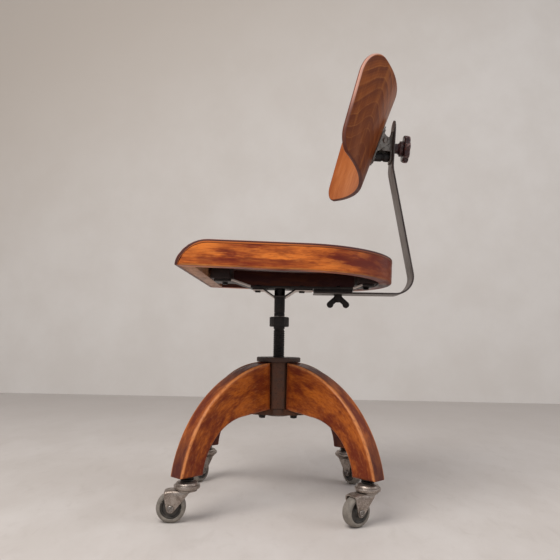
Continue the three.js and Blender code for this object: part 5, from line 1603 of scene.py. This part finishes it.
bar_steel, tree, shader = new_finish("sprung_steel", metallic=0.75)
lie = from_attribute(tree, "grain", "Vector")
rub_and_highlight = from_attribute(tree, "wear_and_highlight", "Fac")
brushed = clouds(stretched(lie, (0.02, 1, 1)), 1400, 2, 0.5)
film = eased(clouds(stretched(lie, (0.35, 1, 1)), 42, 5, 0.62), 0.36, 0.66)
specks = eased(clouds(lie, 520, 3, 0.6), 0.62, 0.72)
steel_tone = mixed(film, (0.135, 0.110, 0.095, 1), (0.225, 0.196, 0.178, 1))
bands = clouds(stretched(lie, (0.02, 1, 1)), 130, 3, 0.6)
steel_tone = mixed(eased(bands, 0.50, 0.36, 0.0, 0.5), steel_tone, (0.055, 0.044, 0.040, 1))
steel_tone = mixed(eased(bands, 0.54, 0.64, 0.0, 0.5), steel_tone, (0.33, 0.30, 0.28, 1))
out = worked("ABSOLUTE", parts_of(lie)[1])
steel_tone = mixed(eased(out, 0.0235, 0.0265, 0.0, 0.6), steel_tone, (0.045, 0.035, 0.032, 1))
steel_tone = mixed(product(specks, 0.6), steel_tone, (0.05, 0.036, 0.03, 1))
# Worn bright near the edges, partly as a painted highlight.
bare = product(eased(total(rub_and_highlight, film), 0.9, 1.7), 0.75)
steel_tone = mixed(bare, steel_tone, (0.46, 0.42, 0.39, 1))
steel_tone = mixed(eased(out, 0.0272, 0.0276, 0.0, 0.85), steel_tone, (0.042, 0.030, 0.030, 1))
painted(shader, steel_tone, eased(total(film, brushed), 0.6, 1.4, 0.36, 0.5))
raised_by(shader, brushed, 0.05, 0.0002)


def strip_form(line, half_at, thickness):
    """A flat strip along a line of [out, up] points, with softly rounded edges."""
    form = Form()
    rows = []
    walked = 0.0
    for i, point in enumerate(line):
        before, after = Vector(line[max(i - 1, 0)]), Vector(line[min(i + 1, len(line) - 1)])
        along = (after - before).normalized()
        side = Vector((-along.y, along.x))
        if i:
            walked += (Vector(point) - Vector(line[i - 1])).length
        half, thin, edge = half_at(walked), thickness / 2, 0.7
        section = []
        for sign_x, sign_n, start in ((1, 1, 0), (-1, 1, 1), (-1, -1, 2), (1, -1, 3)):
            for k in range(4):
                t = math.pi / 2 * (start + k / 3)
                x = sign_x * (half - edge) + edge * math.cos(t)
                n = sign_n * (thin - edge) + edge * math.sin(t)
                section.append((x, n, 1.0))
            if sign_n * sign_x > 0:
                for share, rubbed_and_lit in ((0.88, 0.35), (0.6, 0), (0, 0), (-0.6, 0), (-0.88, 0.35)):
                    section.append((sign_x * half * share, sign_n * thin, rubbed_and_lit))
        row = []
        for x, n, rubbed_and_lit in section:
            spot = Vector(point) + side * n
            row.append(form.add((x, spot.x, spot.y), (walked, x, n), rubbed_and_lit))
        rows.append(row)
    form.skin(rows, capped=True)
    return form


bent = rounded_line(BAR_CORNERS, [34, 60], 22)
bar_line = []
for a, b in zip(bent, bent[1:]):
    steps = max(1, int((Vector(b) - Vector(a)).length / 7))
    bar_line += [tuple(Vector(a).lerp(Vector(b), k / steps)) for k in range(steps)]
tip_length = sum((Vector(b) - Vector(a)).length for a, b in zip(bent, bent[1:]))
last_run = Vector(bent[-1]) - Vector(bent[-2])
trimmed = [p for p in bar_line if p[1] < BAR_TOP - BAR_HALF - 1 or p[0] < 200]
for k in range(13):
    back = BAR_HALF * math.cos(math.pi / 2 * k / 12.4)
    trimmed.append(tuple(Vector(bent[-1]) - last_run.normalized() * back))


def bar_half(walked):
    left = tip_length - walked
    if left >= BAR_HALF:
        return BAR_HALF
    return max(math.sqrt(max(BAR_HALF**2 - (BAR_HALF - left) ** 2, 0)), 1.6)


bar_form = strip_form(trimmed, bar_half, BAR_THICKNESS)


def slot_cutter(length, depth):
    """A round-ended bar on its back, to cut a slot with."""
    loop = []
    for side in (1, -1):
        for k in range(13):
            t = math.pi * k / 12 + (0 if side > 0 else math.pi)
            loop.append(on_arc(0, side * (length / 2 - SLOT_HALF), SLOT_HALF, t))
    form = Form()
    low = [form.add((x, y, -depth)) for x, y in loop]
    high = [form.add((x, y, depth)) for x, y in loop]
    form.skin([low, high], capped=True)
    return form


def cut_with(made, cutters):
    for cutter in cutters:
        tool = set_down("cutter", cutter)
        outward(tool.data)
        outward(made.data)
        cut = made.modifiers.new("cut", "BOOLEAN")
        cut.operation = "DIFFERENCE"
        cut.solver = "EXACT"
        cut.object = tool
        settled(made)
        bpy.data.objects.remove(tool)


# Puts a form drawn from the knob's axis, X across, Y up the bar and Z forwards, on the bar
on_bar = Matrix.Rotation(math.pi / 2 - BAR_LEAN, 4, "X")
on_bar = Matrix.Translation((0, KNOB_OUT, KNOB_UP)) @ on_bar
bar = set_down("sprung_back_bar", bar_form)
low_slot = slot_cutter(37, 6).moved(Matrix.Translation((0, 101, BAR_UP)))
lift_slot = slot_cutter(37, 6).moved(on_bar @ Matrix.Translation((0, 6, 0)))
cut_with(bar, [low_slot, lift_slot])
finish_piece(bar, "back_bar", bar_steel, ["back_bar"], sharp=40)

wing = softened("wing_screw", "wing_screw_casting", 1.7, steps=3, angle=30)
finish_piece(wing, "wing_screw", black_steel, ["wing_screw"], sharp=45)

# The bracket: a pressed steel plate with two cheeks that slides on the upright. The pin
# through the cheeks carries the backrest, and a ribbed rubber buffer under it springs the
# backrest upright. The headed stud holds it to the bar.

zinc_steel = aged_metal(
    "zinced_steel",
    clean=(0.30, 0.285, 0.265, 1),
    dirty=(0.17, 0.155, 0.14, 1),
    spots=(0.07, 0.055, 0.045, 1),
    coarseness=75,
    spotting=0.6,
    roughness=0.38,
    metallic=0.6,
)
made = softened("back_plate", "tilting_plate", 0.45, angle=30)
finish_piece(made, "backrest", zinc_steel, ["back_plate"])

PIN_OUT, PIN_UP = 205.5, 700.5
pin_ahead = (KNOB_OUT - PIN_OUT) * math.cos(BAR_LEAN) + (PIN_UP - KNOB_UP) * math.sin(BAR_LEAN)
pin_above = (PIN_UP - KNOB_UP) * math.cos(BAR_LEAN) - (KNOB_OUT - PIN_OUT) * math.sin(BAR_LEAN)
PLATE_START, CHEEK_START_AT, CHEEK_THICKNESS = 1.9, 12.9, 2.75
CHEEK_HIGH, CHEEK_LOW, CHEEK_TOE, EYE = 19.0, -10.8, 23.5, 7.5


def cheek_form():
    """A cheek of the bracket: up round the pin's eye and down to a toe over the buffer."""
    corners = [
        (PLATE_START, CHEEK_HIGH),
        (PLATE_START, CHEEK_LOW),
        (CHEEK_TOE, CHEEK_LOW),
        (CHEEK_TOE + 1.2, pin_above - 2),
    ]
    line = rounded_line(corners + [(pin_ahead + EYE, pin_above)], [0, 4.5, 3.0], 5)
    line = [p for p in line if p[1] < pin_above - 1.5 or p[0] < PLATE_START + 0.1]
    for k in range(13):
        t = math.radians(-5 + 110 * k / 12)
        line.append((pin_ahead + EYE * math.cos(t), pin_above + EYE * math.sin(t)))
    form = Form()
    edge = 0.5
    rows = []
    middle = Vector((sum(p[0] for p in line), sum(p[1] for p in line))) / len(line)
    near = [(0, edge), (0.15, 0.15), (edge, 0)]
    for x, inset in near + [(CHEEK_THICKNESS - x, inset) for x, inset in reversed(near)]:
        row = []
        for ahead_by, above in line:
            spot = Vector((ahead_by, above))
            spot += (middle - spot).normalized() * inset
            row.append(form.add((CHEEK_START_AT + x, spot.y, spot.x)))
        rows.append(row)
    form.skin(rows, capped=True)
    return form


made = softened("back_bracket", "sliding_bracket", 0.45, angle=30)
finish_piece(made, "bracket", zinc_steel, ["back_bracket"])
for side, name in ((1, "left"), (-1, "right")):
    cheek = cheek_form().moved(on_bar @ Matrix.Diagonal((side, 1, 1, 1)))
    finish_piece(set_down(f"bracket_cheek_{name}", cheek), "bracket", zinc_steel, [])

across = Matrix.Translation((0, PIN_OUT, PIN_UP)) @ Matrix.Rotation(math.pi / 2, 4, "Y")
pin_form = turned_soft(
    [
        (0, -21.0), (3.6, -21.0), (5.2, -19.9), (5.2, -19.3), (4, -19.3), (4, 19.3), (5.2, 19.3),
        (5.2, 19.9), (3.6, 21.0), (0, 21.0),
    ],
    [1.4, 0.6, 0.2, 0.2, 0.2, 0.2, 0.6, 1.4],
    36,
).moved(across)
pin = set_down("hinge_pin_turned", pin_form)
finish_piece(pin, "bracket", dull_steel, ["hinge_pin"])
stud = softened("clamp_stud", "clamp_stud_turned", 0.5, angle=50)
finish_piece(stud, "bracket", dull_steel, ["clamp_stud"], sharp=45)

buffer_rubber, tree, shader = new_finish("black_rubber")
place = object_place(tree)
bloom = eased(clouds(place, 160, 4, 0.6), 0.4, 0.68)
rubber_tone = mixed(bloom, (0.012, 0.012, 0.013, 1), (0.028, 0.026, 0.026, 1))
painted(shader, rubber_tone, eased(bloom, 0, 1, 0.5, 0.68))
raised_by(shader, bloom, 0.15, 0.0003)

BUFFER_UP = 671.5
BACK_LEAN = math.radians(20.2)
BACK_MIDDLE = Vector((0, 194, 701))
buffer_up = (BUFFER_UP - KNOB_UP) * math.cos(BAR_LEAN) + (PIN_OUT - KNOB_OUT) * math.sin(BAR_LEAN)
buffer_form = turned_soft(
    [
        (0, 4.9), (6.2, 4.9), (8.75, 7.0), (8.75, 15.5), (7.1, 17.6), (7.1, 19.4), (8.75, 21.5),
        (8.75, 45), (0, 45),
    ],
    [0.6, 2.2, 2.6, 1.2, 1.2, 2.6, 0.5],
    44,
).moved(on_bar @ Matrix.Translation((0, buffer_up, 0)))
buffer = set_down("rubber_buffer_moulded", buffer_form)
work = bmesh.new()
work.from_mesh(buffer.data)
bmesh.ops.recalc_face_normals(work, faces=work.faces)
rear_way = Vector((0, math.cos(BACK_LEAN), -math.sin(BACK_LEAN)))
PLATE_FRONT = 3.1  # behind the backrest's middle
plate_middle = BACK_MIDDLE + rear_way * PLATE_FRONT
cut = bmesh.ops.bisect_plane(
    work,
    geom=work.verts[:] + work.edges[:] + work.faces[:],
    plane_co=in_metres(plate_middle),
    plane_no=-rear_way,
    clear_outer=True,
)
rim_edges = [e for e in cut["geom_cut"] if isinstance(e, bmesh.types.BMEdge)]
bmesh.ops.edgeloop_fill(work, edges=rim_edges)
work.to_mesh(buffer.data)
work.free()
finish_piece(buffer, None, buffer_rubber, ["rubber_buffer"], sharp=45)
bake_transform(buffer)

# The star knob: dark red bakelite, moulded with a stem, a stepped shoulder and a disc of
# eight lobes to grip. It screws on the stud behind the bar. Its lobes are rubbed dull,
# and paler at their rims, partly as painted highlights.

bakelite, tree, shader = new_finish("red_bakelite")
place = object_place(tree)
marbled = eased(clouds(place, 120, 5, 0.65, 0.8), 0.38, 0.66)
knob_tone = mixed(marbled, (0.030, 0.009, 0.011, 1), (0.070, 0.018, 0.019, 1))
rub_and_highlight = from_attribute(tree, "wear_and_highlight", "Fac")
# Paler where worn, and as a painted highlight on the lobes' rims.
chalky_and_highlight = product(eased(total(rub_and_highlight, marbled), 1.0, 1.9), 0.5)
knob_tone = mixed(chalky_and_highlight, knob_tone, (0.42, 0.27, 0.245, 1))
painted(shader, knob_tone, eased(total(marbled, chalky_and_highlight), 0, 1.5, 0.22, 0.5))
raised_by(shader, marbled, 0.04, 0.0003)

KNOB_LOBES, LOBE_DEPTH = 8, 3.9
KNOB_ROWS = [
    # radius, depth behind the bar, share of the lobes, wear and painted highlight
    (4.3, 1.9, 0, 0), (9.0, 1.9, 0, 0.2), (10, 2.7, 0, 0.6), (10, 9.8, 0, 0),
    (10.3, 11.0, 0, 0), (11.0, 12.0, 0, 0), (12.5, 13.4, 0, 0.7), (15.0, 14.2, 0, 0.9),
    (15.5, 15.2, 0, 0.6), (15.5, 18.0, 0, 0), (16.2, 20.2, 0, 0), (18, 20.9, 0.25, 0),
    (22, 20.9, 0.6, 0.1), (25.4, 20.95, 1, 0.5), (26.8, 21.6, 1, 0.9), (27.6, 22.6, 1, 1),
    (28, 24.2, 1, 0.9), (28, 29.0, 1, 0.8), (27.6, 31.0, 1, 1), (26.7, 32.2, 1, 1),
    (25.2, 32.85, 1, 0.7), (22.5, 32.9, 0.7, 0.2), (18.5, 32.7, 0.35, 0),
    (14.5, 32.0, 0.1, 0.1), (12.8, 31.2, 0, 0), (11.8, 31.0, 0, 0.2), (9.2, 31.3, 0, 0.3),
    (5.5, 31.5, 0, 0.2),
]
knob_form = Form()
knob_rings = []
KNOB_SIDES = 128
for radius, depth, lobed, rubbed_and_lit in KNOB_ROWS:
    ring = []
    for i in range(KNOB_SIDES):
        t = 2 * math.pi * i / KNOB_SIDES
        dip = (0.5 - 0.5 * math.cos(KNOB_LOBES * t)) ** 1.6
        reach = radius - LOBE_DEPTH * lobed * dip
        place = (reach * math.cos(t), reach * math.sin(t), -depth)
        ring.append(knob_form.add(place, wear_and_highlight=rubbed_and_lit * (1 - 0.7 * dip * lobed)))
    knob_rings.append(ring)
knob_form.skin(knob_rings)
knob_form.faces.append(tuple(knob_rings[0]))
knob_form.faces.append(tuple(reversed(knob_rings[-1])))
knob = set_down("moulded_star_knob", knob_form.moved(on_bar))
finish_piece(knob, "star_knob", bakelite, ["star_knob"], sharp=50)

# The backrest: plywood moulded into a deep curve round the sitter's back, tighter towards
# its top, with its edge rounded over. The face veneer shows nested flames of figure, and
# the edge is worn to pale plies, partly as a painted highlight, and made darker on its lower
# part as painted shade. Four slotted screws hold it to the tilting plate.

HALF_GIRTH, HALF_TALL = 217, 100
TOP_CORNER, LOW_CORNER, CROWN = 60, 34, 6.1
CURVE_RADIUS, CONE = 331, 0.0015
BACK_THICKNESS, BACK_EDGE = 8, 2.5


def back_point(point, share, below):
    """A point of the curved sheet from its girth and height, and its depth in front. The
    share from the middle, which a dished sheet needs, changes nothing here."""
    depth = BACK_THICKNESS - below
    radius = CURVE_RADIUS / (1 + CONE * point.y)
    inner = radius - depth
    turn = point.x / radius
    forward = radius - inner * math.cos(turn)
    return Vector(
        (
            inner * math.sin(turn),
            BACK_MIDDLE.y + point.y * math.sin(BACK_LEAN) - forward * math.cos(BACK_LEAN),
            BACK_MIDDLE.z + point.y * math.cos(BACK_LEAN) + forward * math.sin(BACK_LEAN),
        )
    )


def back_outline():
    points = []

    def corner(x, y, radius, start):
        for k in range(17):
            t = start + math.pi / 2 * k / 16
            points.append(on_arc(x, y, radius, t))

    def run(start, end, steps):
        for k in range(1, steps):
            points.append(Vector(start).lerp(Vector(end), k / steps))

    low, high = LOW_CORNER - HALF_TALL, HALF_TALL - TOP_CORNER
    low_side, high_side = HALF_GIRTH - LOW_CORNER, HALF_GIRTH - TOP_CORNER
    corner(low_side, low, LOW_CORNER, -math.pi / 2)
    run((HALF_GIRTH, low), (HALF_GIRTH, high), 14)
    corner(high_side, high, TOP_CORNER, 0)
    run((high_side, HALF_TALL), (-high_side, HALF_TALL), 44)
    corner(-high_side, high, TOP_CORNER, math.pi / 2)
    run((-HALF_GIRTH, high), (-HALF_GIRTH, low), 14)
    corner(-low_side, low, LOW_CORNER, math.pi)
    run((-low_side, -HALF_TALL), (low_side, -HALF_TALL), 48)
    for point in points:
        if point.y > 0:
            point.y -= CROWN * (point.x / HALF_GIRTH) ** 2
    return points


def mixed_value(share, first, second):
    inputs = {0: share, 2: first, 3: second}
    return join(share.id_data, "ShaderNodeMix", inputs, data_type="FLOAT").outputs[0]


def figured_wood():
    """Flame-figured veneer: nested arches of darker growth rings, under varnish."""
    material, tree, shader = new_finish("figured_backrest_wood", Specular_IOR_Level=0.12)
    grain = from_attribute(tree, "grain", "Vector")
    rub_and_highlight = from_attribute(tree, "wear_and_highlight", "Fac")
    split = parts_of(grain)
    girth, tall, depth = split[0], split[1], split[2]
    behind = eased(depth, 0.0035, 0.0045)
    wander = product(minus(clouds(grain, 7, 2, 0.5), 0.5), 0.05)
    ripple = product(minus(clouds(grain, 60, 3, 0.55), 0.5), 0.006)
    spine = eased(behind, 0, 1, -0.030, 0.140)
    away = minus(girth, spine)
    limbs = worked("SQRT", total(product(away, away), 0.00012))
    steep = mixed_value(behind, 1.5, eased(away, -0.02, 0.02, 0.46, 0.78))
    flame = total(tall, product(limbs, steep))
    flame = total(flame, total(wander, ripple))
    coarse = worked("FRACT", product(flame, 41.0))
    fine = worked("FRACT", product(flame, 173.0))
    coarse_line = product(eased(coarse, 0.2, 0.93), eased(coarse, 0.93, 1.0, 1.0, 0.0))
    fine_line = product(eased(fine, 0.3, 0.9), eased(fine, 0.9, 1.0, 1.0, 0.0))
    fibres = clouds(stretched(grain, (1, 0.06, 1)), 800, 3, 0.6)
    shade = eased(clouds(stretched(grain, (1, 0.6, 1)), 11, 4, 0.6), 0.36, 0.66)
    ground = mixed(behind, (0.46, 0.140, 0.034, 1), (0.30, 0.078, 0.010, 1))
    dark = mixed(behind, (0.24, 0.048, 0.013, 1), (0.120, 0.022, 0.004, 1))
    low_down = eased(tall, 0.03, -0.08)
    base = mixed(product(shade, 0.55), ground, dark)
    base = mixed(product(product(low_down, behind), 0.55), base, dark)
    strong = clouds(stretched(grain, (1, 0.5, 1), (2, 5, 3)), 14, 3, 0.5)
    strong = eased(strong, 0.35, 0.62, 0.2, 0.8)
    strong = product(strong, eased(behind, 0, 1, 0.15, 1.0))
    lines = total(coarse_line, product(fine_line, 0.35))
    lines = product(lines, strong)
    base = mixed(lines, base, dark)
    gleam = product(eased(coarse, 0.0, 0.05), eased(coarse, 0.05, 0.16, 1.0, 0.0))
    gleam = product(gleam, product(strong, 0.42))
    base = mixed(gleam, base, (0.40, 0.165, 0.050, 1))
    wisps = clouds(stretched(grain, (1, 0.14, 1), (1, 1, 4)), 70, 4, 0.62)
    base = mixed(eased(wisps, 0.50, 0.72, 0.0, 0.5), base, dark)
    glow = mixed(behind, (0.58, 0.22, 0.085, 1), (0.40, 0.130, 0.026, 1))
    base = mixed(eased(wisps, 0.48, 0.30, 0.0, 0.45), base, glow)
    base = mixed(product(eased(fibres, 0.4, 0.72), 0.25), base, dark)
    ply = worked("ABSOLUTE", worked("SINE", product(depth, math.pi / 0.0016)))
    pale = mixed(eased(ply, 0.35, 0.05, 0.0, 0.45), (0.56, 0.30, 0.23, 1), (0.22, 0.085, 0.055, 1))
    # The pale edge darkens towards the front face, and on its lower part as painted shade.
    pale = mixed(eased(depth, 0.0038, 0.0026), pale, (0.14, 0.040, 0.028, 1))
    pale = mixed(eased(tall, 0.01, -0.05, 0.0, 0.88), pale, (0.085, 0.022, 0.015, 1))
    # Worn pale along the edge, partly as a painted highlight.
    edge_rub_and_highlight = eased(total(rub_and_highlight, product(fibres, 0.2)), 0.45, 0.85)
    base = mixed(product(edge_rub_and_highlight, 0.92), base, pale)
    painted(shader, base, eased(total(shade, fibres), 0.6, 1.4, 0.34, 0.48))
    raised_by(shader, minus(fibres, product(lines, 0.5)), 0.18, 0.0004)
    return material


back_shares = [0.97, 0.93, 0.88, 0.82, 0.76, 0.70, 0.64, 0.58, 0.52, 0.46, 0.40, 0.34]
back_shares += [0.28, 0.22, 0.16, 0.10, 0.05]
back_insets = [0, 0.1, 0.4, 0.9, 1.6, 2.5, 4.5, 8]
sheet = (back_point, BACK_THICKNESS, BACK_EDGE, back_insets, back_shares)
back = set_down("moulded_backrest", moulded_sheet(back_outline(), *sheet))
finish_piece(back, "backrest", figured_wood(), ["backrest_panel"])


def slotted_head(tree, given):
    """A countersunk screw's slightly raised head, pressed in along a straight slot."""
    radius, height, slot = (given.outputs[n] for n in ("Head Radius", "Head Height", "Slot Width"))
    blank = join(
        tree,
        "GeometryNodeMeshCone",
        {
            "Vertices": 56,
            "Side Segments": 3,
            "Fill Segments": 9,
            "Radius Bottom": radius,
            "Radius Top": product(radius, 0.8),
            "Depth": height,
        },
        fill_type="NGON",
    )
    split = parts_of(join(tree, "GeometryNodeInputPosition").outputs[0])
    in_slot = worked("LESS_THAN", worked("ABSOLUTE", split[1]), product(slot, 0.6))
    raised = worked("GREATER_THAN", split[2], product(height, 0.9))
    depth = product(product(in_slot, raised), product(height, -0.5))
    down = join(tree, "ShaderNodeCombineXYZ", {"Z": depth})
    inputs = {"Geometry": blank.outputs["Mesh"], "Offset": down.outputs[0]}
    return join(tree, "GeometryNodeSetPosition", inputs).outputs[0]


screw_sizes = {"Head Radius": 0.0042, "Head Height": 0.0018, "Slot Width": 0.0010}
screw_tree = fixing_tree("slotted_screws", screw_sizes, slotted_head, dull_steel)
PLATE_BACK = 2.8
up_way = Vector((0, math.sin(BACK_LEAN), math.cos(BACK_LEAN)))
screw_places = [
    BACK_MIDDLE + rear_way * PLATE_BACK + Vector((x, 0, 0)) + up_way * tall
    for x, tall in ((-11, 24), (11, 24), (-11, -36), (11, -36))
]
heads = points_facing(screw_places, [rear_way] * 4, [0.4, 1.9, 2.7, 1.1])
screws = grown("backrest_screws", screw_tree, {}, heads)
screws.data.shade_flat()
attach(screws, "backrest")
